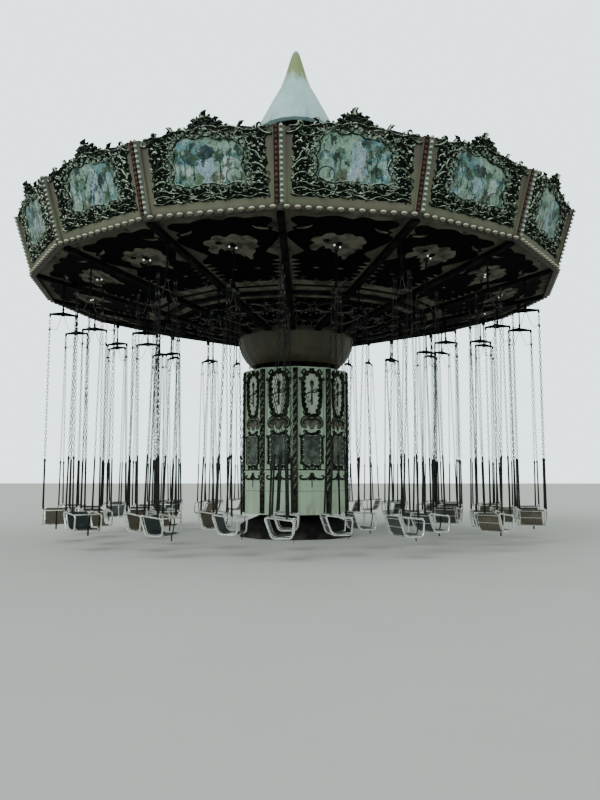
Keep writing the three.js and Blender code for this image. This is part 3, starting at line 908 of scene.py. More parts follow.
def fill_ground(form, count, seed, kind="comma", wide=0.05, apart=0.06, least=0.05, most=0.08, shine=1.0):
    """Sets small strokes and buds wherever the board is still plain."""
    chance = random.Random(seed)
    set_down = []
    for _ in range(TRIES):
        if len(set_down) == count:
            break
        spot = (chance.uniform(-PLAIN_HALF, PLAIN_HALF), chance.uniform(PLAIN_LOW, PLAIN_HIGH))
        if inside(spot, field_line) or any(dist(spot, other) < apart for other in set_down):
            continue
        i = min(range(len(field_line)), key=lambda k: dist(spot, field_line[k]))
        here, after = field_line[i], field_line[(i + 1) % len(field_line)]
        if dist(spot, here) < CLEAR_OF_FIELD:
            continue
        set_down.append(spot)
        along = atan2(after[1] - here[1], after[0] - here[0]) + chance.uniform(-OFF_LINE, OFF_LINE)
        reach = chance.uniform(least, most) * chance.choice((-1, 1))
        end = (spot[0] + reach * cos(along), spot[1] + reach * sin(along))
        if chance.random() < BUD_SHARE:
            boss(form, *spot, BUD_R, gleam=0.95 * shine)
        else:
            flip = chance.random() < 0.5
            scroll(form, kind, spot, end, wide, flip, SHARP, gleam=shine * chance.uniform(0.7, 1.0))
    return len(set_down)


print("Commas on a board:", fill_ground(carving, 105, seed=4))
fine = {"kind": "C", "wide": 0.022, "apart": 0.055, "least": 0.04, "most": 0.07, "shine": 0.4}
print("Fine curls on a board:", fill_ground(sprigs, 110, seed=9, **fine))


# %% The carving's paint, and all sixteen boards
def carved_paint():
    """Black, which is painted shade in the hollows and on lower sides; pale green wear and painted highlights
    on the strokes' upper sides, and painted glints on their crests.
    """
    f = Finish("carved_ornament_paint")
    ridge = f.kept("ridge")
    speck = f.noise(16, 4)
    # Painted light: faces that look up are lit by the sky, and below them the strokes stay black as painted
    # shade.
    lit = f.upward().between(-0.24, 0.12)
    # Paint worn on the ridges, lighter still where it is painted light.
    worn_and_lit = ridge.between(0.35, 0.85) * (0.25 + 0.75 * f.noise(3.1, 2).between(0.4, 0.62))
    # A painted glint on the crests of the strokes.
    glint = ridge.between(0.86, 0.95) * f.noise(5, 2).between(0.5, 0.6) * speck.between(0.42, 0.6)
    colour = f.coated(
        ORNAMENT_DARK, ((0.02, 0.032, 0.022), speck.between(0.4, 0.7) * ridge),
        ((0.055, 0.078, 0.056), worn_and_lit * (0.12 + 0.88 * lit)),
        (ORNAMENT_HIGHLIGHT, lit * ridge.between(0.2, 0.6) * speck.between(0.3, 0.55)), (ORNAMENT_HIGHLIGHT, glint))
    return f.done(colour, 0.6 + 0.2 * speck, f.noise(80, 2), 0.0008, **MATT)


carving_paint = carved_paint()
for name, form in (("board_grounds", ground), ("crown_carving", carving), ("crown_sprigs", sprigs)):
    ring_piece(name, form, board, carving_paint)

# %% [markdown]
# ## The painted fields
# On the real ride each field shows a scene. Here it is a garden of no place in particular, in
# the same pale mint, white, blue and lilac: fountains, urns, clipped trees, plaques and an
# arch. No image is needed: each shape is a thin plate with a tint of its own, a little in
# front of the last one, and the paint adds clouds, sketchy lines and grime to all of them.

# %% Tints and outlines of the gardens
MINT, WHITE, LILAC, BLUE = (0.27, 0.42, 0.34), (0.53, 0.64, 0.62), (0.35, 0.49, 0.60), (0.15, 0.32, 0.35)
SLATE, LEAF, TAN, PALE = (0.03, 0.055, 0.075), (0.06, 0.11, 0.06), (0.15, 0.16, 0.10), (0.30, 0.45, 0.35)
TEAL, MOSS = (0.07, 0.18, 0.17), (0.12, 0.21, 0.12)
# Halves of upright shapes, as (half width, height) points
URN = [(0.16, 0), (0.2, 0.06), (0.07, 0.16), (0.3, 0.42), (0.34, 0.62), (0.24, 0.78), (0.36, 0.9)]
VEIL = [(0.5, 0), (0.42, 0.3), (0.3, 0.7), (0.26, 1.0), (0.3, 1.3), (0.16, 1.42)]
PILLAR = [(0.14, 0), (0.14, 0.08), (0.08, 0.12), (0.07, 1.3), (0.13, 1.38), (0.13, 1.45)]
ARCH = [(0.42, 0), (0.42, 0.5), (0.36, 0.72), (0.2, 0.86), (0.0, 0.92)]
STEM = [(0.05, 0), (0.03, 0.5), (0.045, 1.0)]
TREES = ((0.36, 0.62, 0.34), (0.52, 0.58, 0.4), (-0.2, 0.6, 0.3), (0.22, 0.6, 0.26), (-0.62, 0.66, 0.2))
FLOWER_TINTS = (WHITE, LILAC, PALE, BLUE, SLATE)


def blob(x, y, wide, tall, lobes=6, depth=0.12, start=0.0):
    """A rounded outline with lobes, for foliage, clouds and plaques."""
    line = []
    for n in range(2 * lobes):
        turn = tau * n / (2 * lobes) + start
        reach = 1 - depth * (n % 2)
        line.append((x + wide * reach * cos(turn), y + tall * reach * sin(turn)))
    return line


def vessel(x, y, size, profile):
    """A shape with two like sides, from (half width, height) points."""
    right = [(x + r * size, y + h * size) for r, h in profile]
    return right + [(2 * x - px, py) for px, py in reversed(right)]


print("The urn, veil, pillar and arch have", [2 * len(half) for half in (URN, VEIL, PILLAR, ARCH)], "points")

# %% Two gardens
BLOSSOMS, IN_BEDS = 30, 15


def garden(number):
    """The coloured shapes of one garden, back to front. The second is the first one mirrored
    in part, with an urn for its fountain."""
    side = 1 if number == 0 else -1
    chance = random.Random(number + 20)
    shapes = [
        (blob(-0.3 * side, 1.02, 0.4, 0.2, 9), PALE), (blob(0.3 * side, 0.98, 0.36, 0.22, 9), BLUE),
        (blob(0.0, 0.5, 0.7, 0.16, 11), MOSS), (vessel(-0.4 * side, 0.6, 0.36, ARCH), TEAL),
        (vessel(-0.4 * side, 0.6, 0.27, ARCH), MINT), (vessel(-0.56 * side, 0.62, 0.34, PILLAR), PALE),
    ]
    for x, y, tall in TREES:
        shapes += [
            (vessel(x * side, y, tall, STEM), SLATE), (blob(x * side, y + tall, 0.09, 0.11, 7, 0.25), LEAF),
            (blob(x * side + 0.03, y + tall * 0.8, 0.06, 0.06, 6, 0.25), TEAL),
        ]
    if number == 0:
        shapes += [(vessel(0.08, 0.44, 0.4, VEIL), LILAC), (vessel(0.08, 0.95, 0.16, URN), WHITE)]
        shapes += [(vessel(0.08, 0.44, 0.16, VEIL), WHITE), (blob(0.08, 0.44, 0.28, 0.04, 8), BLUE)]
    else:
        shapes += [(vessel(-0.02, 0.46, 0.44, URN), LILAC), (blob(-0.02, 0.96, 0.16, 0.12, 9), SLATE)]
        shapes += [(vessel(0.32, 0.44, 0.3, VEIL), WHITE), (vessel(0.32, 0.44, 0.14, VEIL), BLUE)]
    plaque = (-0.4 * side, 0.54)
    shapes += [
        (blob(*plaque, 0.135, 0.145, 12, 0.0), SLATE), (blob(*plaque, 0.115, 0.125, 12, 0.0), PALE),
        (blob(0.5 * side, 0.5, 0.15, 0.1, 8), BLUE), (vessel(0.58 * side, 0.5, 0.24, URN), LILAC),
        (blob(-0.17 * side, 0.52, 0.09, 0.1, 7), TAN), (vessel(0.24 * side, 0.44, 0.18, URN), MINT),
    ]
    for n in range(BLOSSOMS):
        x = 0.6 * (n / 10.5 - 1)
        y = 0.44 + 0.05 * sin(4.4 * x) + chance.uniform(-0.02, 0.05)
        if n > IN_BEDS:
            x, y = chance.uniform(-0.5, 0.5), 0.88 + chance.uniform(-0.12, 0.22)
        size = chance.uniform(0.014, 0.03)
        shapes.append((blob(x, y, size, size, 4, 0.3, chance.random()), chance.choice(FLOWER_TINTS)))
    return shapes


print("The gardens have", len(garden(0)), "and", len(garden(1)), "shapes")


# %% The gardens' paint, and their place on the boards
def garden_paint():
    f = Finish("garden_scene_paint")
    cloud = f.noise(2.6, 5)
    folds = f.noise(9, 5, (1, 1, 0.5), 0.7)
    fine = f.noise(30, 4, (1, 1, 0.6), 0.7)
    drawn = fine.between(0.47, 0.49) * (1 - fine.between(0.51, 0.53)) * f.noise(5, 2).between(0.38, 0.47)
    colour = f.coated(
        f.kept("tint", "Color"), ((0.21, 0.39, 0.32), cloud.between(0.42, 0.7) * 0.45),
        ((0.015, 0.028, 0.03), folds.between(0.52, 0.57) * f.noise(2.6, 3).between(0.37, 0.5) * 0.9),
        ((0.55, 0.66, 0.74), folds.between(0.46, 0.4) * f.noise(3.7, 3).between(0.42, 0.55) * 0.7),
        ((0.015, 0.036, 0.033), drawn * 0.95))
    colour = f.mix((0.018, 0.026, 0.024), colour, f.kept("ridge").between(0.0, 0.7))
    colour = f.mix(colour, (0.10, 0.12, 0.085), f.streaks(9) * 0.4)
    return f.done(colour, 0.35 + 0.2 * cloud, fine, 0.0006, **MATT)


WIDER, TALLER, FOOT_SHARE = 1.13, 1.03, 0.98


def spread(outline):
    """Takes a garden's outline a little way under the ornament that frames it, but not at its foot."""
    middle = FIELD_MIDDLE.y
    return [(WIDER * x, middle + (TALLER if y > middle else FOOT_SHARE) * (y - middle)) for x, y in outline]


scene_paint = garden_paint()
for number in (0, 1):
    form = Form()
    plate(form, spread(field_line), 0.002, 0.005, tint=MINT, ridges=[1.0] * (2 * len(field_line)))
    for n, (outline, tint) in enumerate(garden(number)):
        outline = [(max(-0.6, min(x, 0.62)), max(0.43, min(y, 1.16))) for x, y in outline]
        plate(form, spread(outline), 0.004, 0.0055 + 0.0002 * n, 0.008, tint=tint)
    place = Matrix.Rotation(BAY * number, 4, "Z") @ board
    ring_piece(f"garden_scene_{number + 1}", form, place, scene_paint, count=SIDES // 2)

# %% [markdown]
# ## Lamps
# Rows of dim old globes outline the painted fields. Pale ones run up every corner on a strip
# of their own, beside a strip of dark red ones, and larger, flatter lamps follow the rail
# under the boards. Each could be an object that shares one mesh, but a whole ring in one piece
# is easier to carry on its body. A lamp is repeated hundreds of times, so it has only a few
# dozen faces. Where they stand comes from loose points in the plane of a wall.

# %% Lamp finishes
def bulb_glass(name, *more):
    return weathered(name, (12, 3), *more, None, 0.0006)


def lit_glass():
    """The few lamps under the ceiling are lit."""
    f = Finish("lit_lamp_glass")
    cloud = f.noise(9, 3)
    colour = f.mix((0.70, 0.74, 0.70), (0.80, 0.82, 0.80), cloud)
    return f.done(colour, 0.3, cloud, 0.0004, **{"Emission Color": colour, "Emission Strength": 1.1})


def cream_glass():
    """Rail lamps: a painted highlight on top and painted shade on their lower halves, by how far each face
    looks up.
    """
    f = Finish("cream_lamp_glass")
    cloud = f.noise(9, 4)
    lit = (f.upward() + 0.3 * cloud).between(-0.25, 0.65)
    return f.done(f.mix((0.14, 0.13, 0.085), (0.80, 0.80, 0.66), lit), 0.25 + 0.3 * cloud, cloud, 0.0006)


red = bulb_glass("dark_red_lamp_glass", ((0.03, 0.012, 0.007), (0.10, 0.03, 0.018)), (0.4, 0.65), (0.25, 0.3))
old_glass = bulb_glass("dim_bulb_glass", ((0.07, 0.09, 0.07), (0.26, 0.32, 0.26)), (0.4, 0.65), (0.3, 0.3))
# Mint glass for the corner lamps, with painted shade on the faces that look down.
mint = weathered(
    "mint_lamp_glass", (9, 3), ((0.34, 0.42, 0.35), (0.60, 0.67, 0.58)), (0.35, 0.65), (0.25, 0.3),
    None, 0.0006, ((0.12, 0.14, 0.10), lambda f, cloud: (0 - f.upward()).between(0.3, 0.8)))
cream = cream_glass()


def lamps(name, recipe, places, wall, material, slot="board_paint", count=SIDES, body="crown", **sizes):
    """One wall's row of lamps or cups, copied round the axis."""
    row = recipe.makes(name + "_row", spots(places), material, **sizes)
    row.transform(wall)
    show(name, around.makes(name, row, material, count=count), body)


# %% Lamps round the fields, up the corners and along the rail
STRIP_TALL = 1.25
RED_X, PALE_X = -0.048, 0.037
FIELD_PITCH, CORNER_PITCH, RAIL_PITCH = 0.17, 0.086, 0.184
CORNER_LAMPS, RAIL_LAMPS = 15, 13
corner = stood(0, RIM_R + 0.0355, RIM_Z + 0.012, atan((TOP_R - RIM_R) / (TOP_Z - RIM_Z - 0.012)))
rail = stood(BAY / 2, (RIM_R + 0.035) * APOTHEM, RIM_Z - 0.038)
for name, left, right, dark, pale, dull in (
    ("red", -0.092, -0.004, (0.014, 0.009, 0.006), (0.05, 0.022, 0.015), MATT),
    ("pale", 0.0, 0.074, (0.10, 0.13, 0.10), (0.20, 0.245, 0.19), {}),
):
    form = Form()
    plate(form, box(left, right, 0.0, STRIP_TALL), -0.003, 0.004, 0.003)
    strip_paint = weathered(
        f"corner_strip_{name}_paint", (9, 4), (dark, pale), (0.4, 0.65), (0.5, 0.2), None, 0.0008, **dull)
    ring_piece(f"corner_{name}_strips", form, corner, strip_paint)
field_spots = evenly(grown(field_line, FIELD_MIDDLE, 1.01), FIELD_PITCH)
corner_spots = [0.04 + CORNER_PITCH * n for n in range(CORNER_LAMPS)]
rail_spots = [RAIL_PITCH * (n - RAIL_LAMPS // 2) for n in range(RAIL_LAMPS)]
lamps("field_lamps", globes, [(x, y, 0.045) for x, y in field_spots], board, old_glass, radius=0.031)
lamps("field_lamp_cups", cups, [(x, y, 0.004) for x, y in field_spots], board, steel_paint,
      radius=0.034, deep=0.04)
lamps("corner_lamps", globes, [(PALE_X, y, 0.02) for y in corner_spots], corner, mint, radius=0.032)
lamps("corner_red_lamps", globes, [(RED_X, y, 0.008) for y in corner_spots], corner, red,
      radius=0.033, squat=1.1, rise=0.5)
lamps("rail_lamps", globes, [(x, 0.0, 0.03) for x in rail_spots], rail, cream,
      radius=0.06, squat=0.62, rise=0.8)
lamps("rail_lamp_cups", cups, [(x, 0.0, 0.008) for x in rail_spots], rail, red, radius=0.038, deep=0.03)

# %% [markdown]
# ## On top of the crown
# The roof can't be seen from the ground. It gets what such roofs have: a capped ridge over
# each hip, folded seams between its sheets, a collar at each end of the mast's bare part, the
# lower one bolted, and ribs behind the boards. Seams could be lines in the paint, but real
# ones throw small shadows, so they are thin pipes just off the sheet.

# %% Roof seams, collar and ribs behind the boards
EAVE, ROOF_HEAD = (6.49, 7.07), (0.95, 9.70)
OFF_SHEET = 0.004
BOLT_R, BOLT_Z = 0.86, 9.745


def on_roof(share, across):
    """A point just off the roof's bay: its share of the way up and its share across."""
    radius = EAVE[0] + share * (ROOF_HEAD[0] - EAVE[0])
    height = EAVE[1] + share * (ROOF_HEAD[1] - EAVE[1])
    left = Vector((0, -radius, 0))
    right = Matrix.Rotation(BAY, 3, "Z") @ left
    return left.lerp(right, across) + Vector((0, 0, height + OFF_SHEET))


form = Form()
for across, radius, sides in ((0.0, 0.032, 8), (0.25, 0.012, 5), (0.5, 0.012, 5), (0.75, 0.012, 5)):
    top = 0.985 if across in (0.0, 0.5) else 0.62
    pipe(form, [on_roof(0.02, across), on_roof(top, across)], radius, sides)
for share in (0.025, 0.34, 0.62):
    pipe(form, [on_roof(share, n / 2) for n in range(3)], 0.014, 5)
seam_paint = weathered(
    "roof_seam_paint", (6, 4), ((0.14, 0.16, 0.145), (0.27, 0.30, 0.275)), (0.4, 0.65), (0.6, 0.2),
    None, 0.001)
ring_piece("roof_seams", form, None, seam_paint, "roof_sheet")
form = Form()
for low, high, radius in ((9.71, 9.78, 0.845), (10.08, 10.15, 0.83)):
    turned(form, [(0.77, low), (radius, low), (radius, high), (0.77, high), (0.77, low)], 32)
for n in range(16):
    turn = tau * n / 16
    spot = Vector((BOLT_R * sin(turn), -BOLT_R * cos(turn), BOLT_Z))
    turned(form, [(0, -0.02), (0.016, -0.016), (0.016, 0.016), (0, 0.02)], 6, place=spot)
show("mast_collar", form.mesh("mast_collar", steel_paint), "crown")
form = Form()
for u in (-0.85, -0.28, 0.28, 0.85):
    plate(form, box(u - 0.03, u + 0.03, 0.15, 1.2), -0.085, -0.03, 0.004)
plate(form, box(-1.14, 1.14, 1.0, 1.05), -0.1, -0.07, 0.004)
ring_piece("board_ribs", form, board, steel_paint, "dark_steel")

# %% [markdown]
# ## Under the crown
# The ceiling is painted sheet with cut and painted ornament between the arms: a black panel
# with a ragged edge, a pale blossom round each hanger of the middle row, teeth beside the
# arms, bands beside the ring, and a black ground with worn scrolls near the bowl. Masks in the
# paint could draw it, but an outline is easier to place by its corners. So it is drawn once,
# in the plane of one bay, as thin plates just under the sheet. In that plane X runs across the
# bay and Y is the distance from the axis.

# %% The plane of a ceiling bay, and where its ornament lies
RISE = SLOPE / APOTHEM
along = Vector((cos(BAY / 2), sin(BAY / 2), 0))
outward = Vector((sin(BAY / 2), -cos(BAY / 2), RISE))
ceiling_bay = Matrix((along, outward, along.cross(outward).normalized())).transposed().to_4x4()
ceiling_bay.translation = Vector((0, 0, RIM_Z - RIM_R * SLOPE))
BLACK, DIM = (0.003, 0.003, 0.003), (0.13, 0.122, 0.098)
HALF_ARM = 0.066
# Half of the black panel's edge: distance from the axis, and how far it keeps off the arm.
PANEL_EDGE = [
    (3.64, 0.16), (3.72, 0.07), (4.42, 0.05), (4.56, 0.13), (4.7, 0.3), (4.84, 0.2), (5.0, 0.1), (5.14, 0.02),
    (5.3, 0.02), (5.38, 0.14), (5.46, 0.1), (5.52, 0.22), (5.62, 0.12), (5.72, 0.1), (5.8, 0.2), (5.82, 0.3),
]
PANEL_TOP = [
    (0.5, 5.8), (0.36, 5.87), (0.2, 5.86), (0.1, 5.8), (-0.06, 5.85), (-0.2, 5.88), (-0.4, 5.84),
    (-0.52, 5.79),
]
PANEL_FOOT = [(-0.3, 3.6), (-0.16, 3.66), (0.0, 3.59), (0.16, 3.66), (0.3, 3.6)]
BLOSSOM = [
    (0.02, 5.3), (0.1, 5.36), (0.2, 5.34), (0.28, 5.27), (0.38, 5.29), (0.47, 5.2), (0.53, 5.08),
    (0.47, 4.98), (0.5, 4.88), (0.4, 4.84), (0.38, 4.72), (0.29, 4.62), (0.27, 4.5), (0.2, 4.46),
    (0.16, 4.6), (0.1, 4.56), (0.06, 4.68), (-0.04, 4.72), (-0.1, 4.84), (-0.2, 4.82), (-0.22, 4.92),
    (-0.3, 4.86), (-0.36, 4.74), (-0.46, 4.78), (-0.5, 4.9), (-0.42, 5.0), (-0.52, 5.08), (-0.46, 5.2),
    (-0.34, 5.22), (-0.28, 5.32), (-0.14, 5.35), (-0.06, 5.28),
]
HOOK = [(0.72, 5.5), (0.62, 5.53), (0.56, 5.58), (0.59, 5.5), (0.68, 5.44), (0.82, 5.42), (0.84, 5.46)]
TEETH = ((3.78, 0.14), (3.93, 0.19), (4.08, 0.15), (4.22, 0.2), (4.36, 0.16))
BANDS = ((3.44, 3.6, DIM), (3.37, 3.43, BLACK), (3.2, 3.34, DIM), (2.9, 3.06, DIM), (2.83, 2.88, BLACK))
BOWL_SCROLLS = (
    ("C", (0.06, 1.9), (0.22, 2.2), 0.06), ("S", (0.05, 2.7), (0.33, 2.62), 0.06),
    ("C", (0.12, 2.5), (0.34, 2.4), 0.07), ("S", (0.05, 1.6), (0.16, 1.8), 0.05),
    ("comma", (0.3, 2.25), (0.24, 2.05), 0.06), ("C", (0.2, 3.7), (0.4, 3.74), 0.045),
)
print("Points of the ceiling's outlines:", len(PANEL_EDGE), len(PANEL_TOP), len(BLOSSOM), len(HOOK))


# %% Ornament of one bay
def half_bay(a, spare):
    """Half the free width between two arms at a distance from the axis."""
    return a * tan(BAY / 2) - HALF_ARM - spare


def both_halves(right, between=()):
    """An outline from its right half, what lies between the halves, and its left half."""
    return [*right, *between, *((-x, y) for x, y in reversed(right))]


def scalloped(low, high, spare, lobes, depth):
    """A bay-wide outline whose edges are small scallops."""
    right = []
    for n in range(4 * lobes + 1):
        a = low + (high - low) * n / (4 * lobes)
        right.append((half_bay(a, spare) - depth * (1 - abs(sin(pi * n / 4))), a))
    shares = [1 - n / 10 for n in range(1, 20)]
    across = [(t * half_bay(high, spare), high + depth * 0.8 * abs(sin(2 * pi * t))) for t in shares]
    return both_halves(right, across)


def ceiling_ornament(form):
    right = smoothed([(half_bay(a, spare), a) for a, spare in PANEL_EDGE], 2, closed=False)
    panel = both_halves(right, smoothed(PANEL_TOP, 2, closed=False)) + PANEL_FOOT
    plate(form, panel, 0.0, 0.004, tint=BLACK)
    plate(form, smoothed(BLOSSOM, 2), 0.003, 0.006, 0.002, tint=DIM)
    # Black patches on the blossom, round the hanger.
    for black_patch in ((0.03, 5.0, 0.07, 0.1), (-0.22, 5.1, 0.08, 0.06)):
        plate(form, smoothed(blob(*black_patch, 5, 0.3), 2), 0.006, 0.0085, tint=BLACK)
    for side in (-1, 1):
        plate(form, blob(side * 0.24, 4.12, 0.07, 0.025, 5, 0.3), 0.003, 0.006, tint=DIM)
        plate(form, [(side * x, y) for x, y in HOOK][::side], 0.004, 0.0065, tint=DIM)
        for a, reach in TEETH:
            x = half_bay(a, 0.03)
            tooth = [(side * x, a - 0.05), (side * (x - reach), a + 0.02), (side * x, a + 0.05)]
            plate(form, tooth[::side], 0.003, 0.006, tint=DIM)
    for low, high, tint in BANDS:
        band = both_halves([(half_bay(a, 0.02), a) for a in (low, high)])
        plate(form, band, 0.0, 0.0045, tint=tint)
    plate(form, scalloped(1.5, 2.8, 0.02, 5, 0.05), 0.0, 0.004, tint=BLACK)


def ceiling_scrolls(form):
    """Broad worn scrolls on the black grounds near the bowl, and a few by the panels' ends."""
    scrolls_both_sides(form, BOWL_SCROLLS, base=0.003)
    palm(form, (0, 2.3), 90, 0.2, 5, 150, 0.36, base=0.003)
    for x, y in ((0, 2.08), (-0.12, 2.2), (0.12, 2.2)):
        boss(form, x, y, 0.05, petals=5)


ornament, worn_scrolls = Form(), Form()
ceiling_ornament(ornament)
ceiling_scrolls(worn_scrolls)
print("A bay's ornament and scrolls have", len(ornament.faces), "and", len(worn_scrolls.faces), "faces")


# %% The ceiling's paints and pieces
def ceiling_sign_paint():
    f = Finish("ceiling_ornament_paint")
    cloud = f.noise(3.5, 5)
    colour = f.mix(f.kept("tint", "Color"), (0.003, 0.003, 0.003), cloud.between(0.42, 0.6) * 0.6)
    colour = f.mix((0.004, 0.004, 0.004), colour, f.kept("ridge").between(0.0, 0.6))
    return f.done(colour, 0.8 + 0.1 * cloud, cloud, 0.001, **DEAD_MATT)


def scroll_grey():
    f = Finish("ceiling_scroll_grey")
    worn = f.noise(6, 4)
    crest = (f.kept("ridge") * worn * 1.8).between(0.45, 1.0)
    colour = f.mix((0.012, 0.012, 0.01), (0.15, 0.15, 0.135), crest)
    return f.done(colour, 0.8 + 0.1 * worn, worn, 0.0008, **DEAD_MATT)


ring_piece("ceiling_ornament", ornament, ceiling_bay, ceiling_sign_paint(), "ceiling_paint")
ring_piece("ceiling_scrolls", worn_scrolls, ceiling_bay, scroll_grey(), "ceiling_paint")
beside_hangers = [(-0.055, 4.98, 0.02), (0.065, 4.92, 0.02)]
lamps("ceiling_lamps", globes, beside_hangers, ceiling_bay, lit_glass(), "ceiling_paint", radius=0.017)

# %% [markdown]
# ## The column's faces
# Each of the ten faces carries, from the top down: an oval cartouche in a frame of dark
# foliage, a heart of scrolls, a mirror in a scrolled frame with a white beaded edge, a dark
# line, and a hanging palmette. Dark pilasters with small bulbs cover the corners. On the real
# column each oval holds a trophy; here a torch with a ribbon stands in its place. The column
# could be modelled in the round, but a flat face is easier to measure against the photograph.
# It is drawn once, and the recipe that copies the boards copies it round the ten sides too.

# %% Where the ornament of a face lies
FACE_R = COLUMN_R * cos(COLUMN_BAY / 2)
face = stood(COLUMN_TURN + COLUMN_BAY / 2, FACE_R, 0)
# Right halves of outlines, which start and end on the middle line
OVAL = [
    (0, 3.80), (0.09, 3.77), (0.16, 3.66), (0.17, 3.5), (0.155, 3.4), (0.165, 3.28), (0.15, 3.1),
    (0.1, 2.94), (0, 2.84),
]
MIRROR = [
    (0, 2.34), (0.1, 2.36), (0.18, 2.34), (0.195, 2.26), (0.185, 2.14), (0.195, 2.0), (0.185, 1.84),
    (0.19, 1.74), (0.1, 1.7), (0, 1.73),
]
HEART = [
    (0, 2.74), (0.06, 2.8), (0.14, 2.81), (0.22, 2.75), (0.25, 2.64), (0.2, 2.55), (0.12, 2.54),
    (0.13, 2.6), (0.09, 2.62), (0.05, 2.55), (0, 2.52),
]
HEART_MIDDLE, MIRROR_MIDDLE = 2.67, 2.06
TORCH = [(0.014, 0), (0.024, 0.06), (0.018, 0.3), (0.034, 0.34), (0.024, 0.42), (0.055, 0.5), (0.014, 0.56)]
FACE_SCROLLS = (
    ("C", (0.06, 3.9), (0.2, 3.84), 0.06), ("C", (0.21, 3.86), (0.265, 3.7), 0.06),
    ("C", (0.03, 2.85), (0.16, 2.9), 0.045), ("S", (0.04, 2.42), (0.17, 2.44), 0.045),
    ("C", (0.17, 2.43), (0.265, 2.36), 0.05), ("C", (0.265, 1.72), (0.19, 1.62), 0.05),
    ("S", (0.02, 1.63), (0.17, 1.63), 0.04), ("C", (0.05, 1.47), (0.23, 1.42), 0.055),
)
FACE_PALMS = (  # foot, heading, size, leaves, how far they spread and how wide they are
    ((0, 3.82), 90, 0.11, 7, 170, 0.5), ((0, 1.45), 90, 0.08, 5, 170, 0.5),
    ((0, 1.44), -90, 0.15, 3, 50, 0.26), ((0, 3.56), 90, 0.12, 3, 60, 0.4),
)
print("A face of the column is", round(2 * COLUMN_R * sin(COLUMN_BAY / 2), 2), "m wide")


# %% Ornament of one face
def mirrored(half):
    """The whole outline from its right half, which starts and ends on the middle line."""
    return half + [(-x, y) for x, y in reversed(half[1:-1])]


def foliage_frame(form, outline, grow, wide, leaf_size):
    """Scrolls and leaves that follow an outline on its outer side."""
    middle = Vector((0, sum(y for _, y in outline) / len(outline)))
    ring = [Vector(p) for p in evenly(outline, grow)]
    for n, (a, b) in enumerate(zip(ring, ring[1:] + ring[:1])):
        away = Vector(((a - middle).x, (a - middle).y * 0.35)).normalized()
        foot, end = a + away * 0.02, b + away * 0.02
        scroll(form, "C", tuple(foot), tuple(end), wide, True, SHARP)
        leaf(form, foot, foot + away * leaf_size, leaf_size * 0.75, 0.4 if n % 2 else -0.4)


def face_ornament(form):
    foliage_frame(form, smoothed(mirrored(OVAL), 2), 0.115, 0.07, 0.1)
    foliage_frame(form, smoothed(mirrored(MIRROR), 2), 0.11, 0.05, 0.075)
    for foot, heading, size, count, wide_open, wide in FACE_PALMS:
        palm(form, foot, heading, size, count, wide_open, wide)
    boss(form, 0, 3.85, 0.03)
    scrolls_both_sides(form, FACE_SCROLLS)
    for side in (-1, 1):
        for x, y in ((0.25, 3.62), (0.255, 3.46), (0.25, 3.3), (0.24, 3.14), (0.21, 3.0)):
            leaf(form, (side * (x - 0.04), y - 0.05), (side * (x + 0.01), y + 0.06), 0.06, 0.4 * side)
        leaf(form, (side * 0.01, 1.47), (side * 0.14, 1.36), 0.09, -0.3 * side)
        leaf(form, (side * 0.01, 1.46), (side * 0.08, 1.32), 0.07, -0.2 * side)
        strip(form, [(side * 0.29, 1.62), (side * 0.29, 3.94)], [0.014] * 2, [0.008] * 2, SHARP)
        scroll(form, "C", (side * 0.04, 2.7), (side * 0.17, 2.66), 0.035, side > 0, SHARP, base=0.006)
    heart = smoothed(mirrored(HEART), 2)
    heart = [(1.14 * x, HEART_MIDDLE + 1.16 * (y - HEART_MIDDLE)) for x, y in heart]
    plate(form, heart, -0.001, 0.004, 0.004)
    leaf(form, (0, 1.36), (0, 1.14), 0.034, 0)
    boss(form, 0, 1.44, 0.035)
    plate(form, box(-0.32, 0.32, 1.56, 1.592), -0.001, 0.006)
    plate(form, vessel(0.0, 3.06, 1.0, TORCH), -0.001, 0.006, 0.003)
    scroll(form, "S", (-0.085, 3.2), (0.085, 3.36), 0.032, False, SHARP)
    scroll(form, "S", (0.08, 3.44), (-0.08, 3.28), 0.032, True, SHARP)


def face_hearts(form):
    """The shaded hearts inside the dark frames."""
    plate(form, smoothed(mirrored(HEART), 2), 0.003, 0.007, 0.006)


def face_ground(form):
    """The pale field behind each oval, and a pale moulding at each side of the face."""
    plate(form, smoothed(mirrored(OVAL), 3), -0.001, 0.002)
    for x in (-0.325, 0.325):
        strip(form, [(x, 1.0), (x, 3.94)], [0.016] * 2, [0.012] * 2)


def face_mirrors(form):
    plate(form, smoothed(mirrored(MIRROR), 3), -0.001, 0.006, 0.008)


drawn = {"ornament": face_ornament, "mouldings": face_ground, "hearts": face_hearts, "mirrors": face_mirrors}
face_forms = {name: Form() for name in drawn}
for name, draw in drawn.items():
    draw(face_forms[name])
    print(f"The {name} of one face: {len(face_forms[name].faces)} faces")


# %% The column's paints and pieces
def old_mirror():
    """Silvering that has gone dull and dark in patches, with pale streaks of painted reflection."""
    f = Finish("old_mirror_glass")
    spotted = f.noise(26, 5).between(0.55, 0.7)
    colour = f.coated(
        f.mix((0.028, 0.042, 0.033), (0.11, 0.145, 0.12), f.noise(4.5, 4).between(0.42, 0.62)),
        # Painted reflection: pale streaks across the glass.
        ((0.42, 0.5, 0.48), f.noise(2.3, 2, (1, 1, 0.5)).between(0.58, 0.66)),
        ((0.05, 0.06, 0.05), spotted * 0.6))
    return f.done(colour, 0.3 + 0.35 * spotted, f.noise(2.2, 1), 0.02, Metallic=0.5)


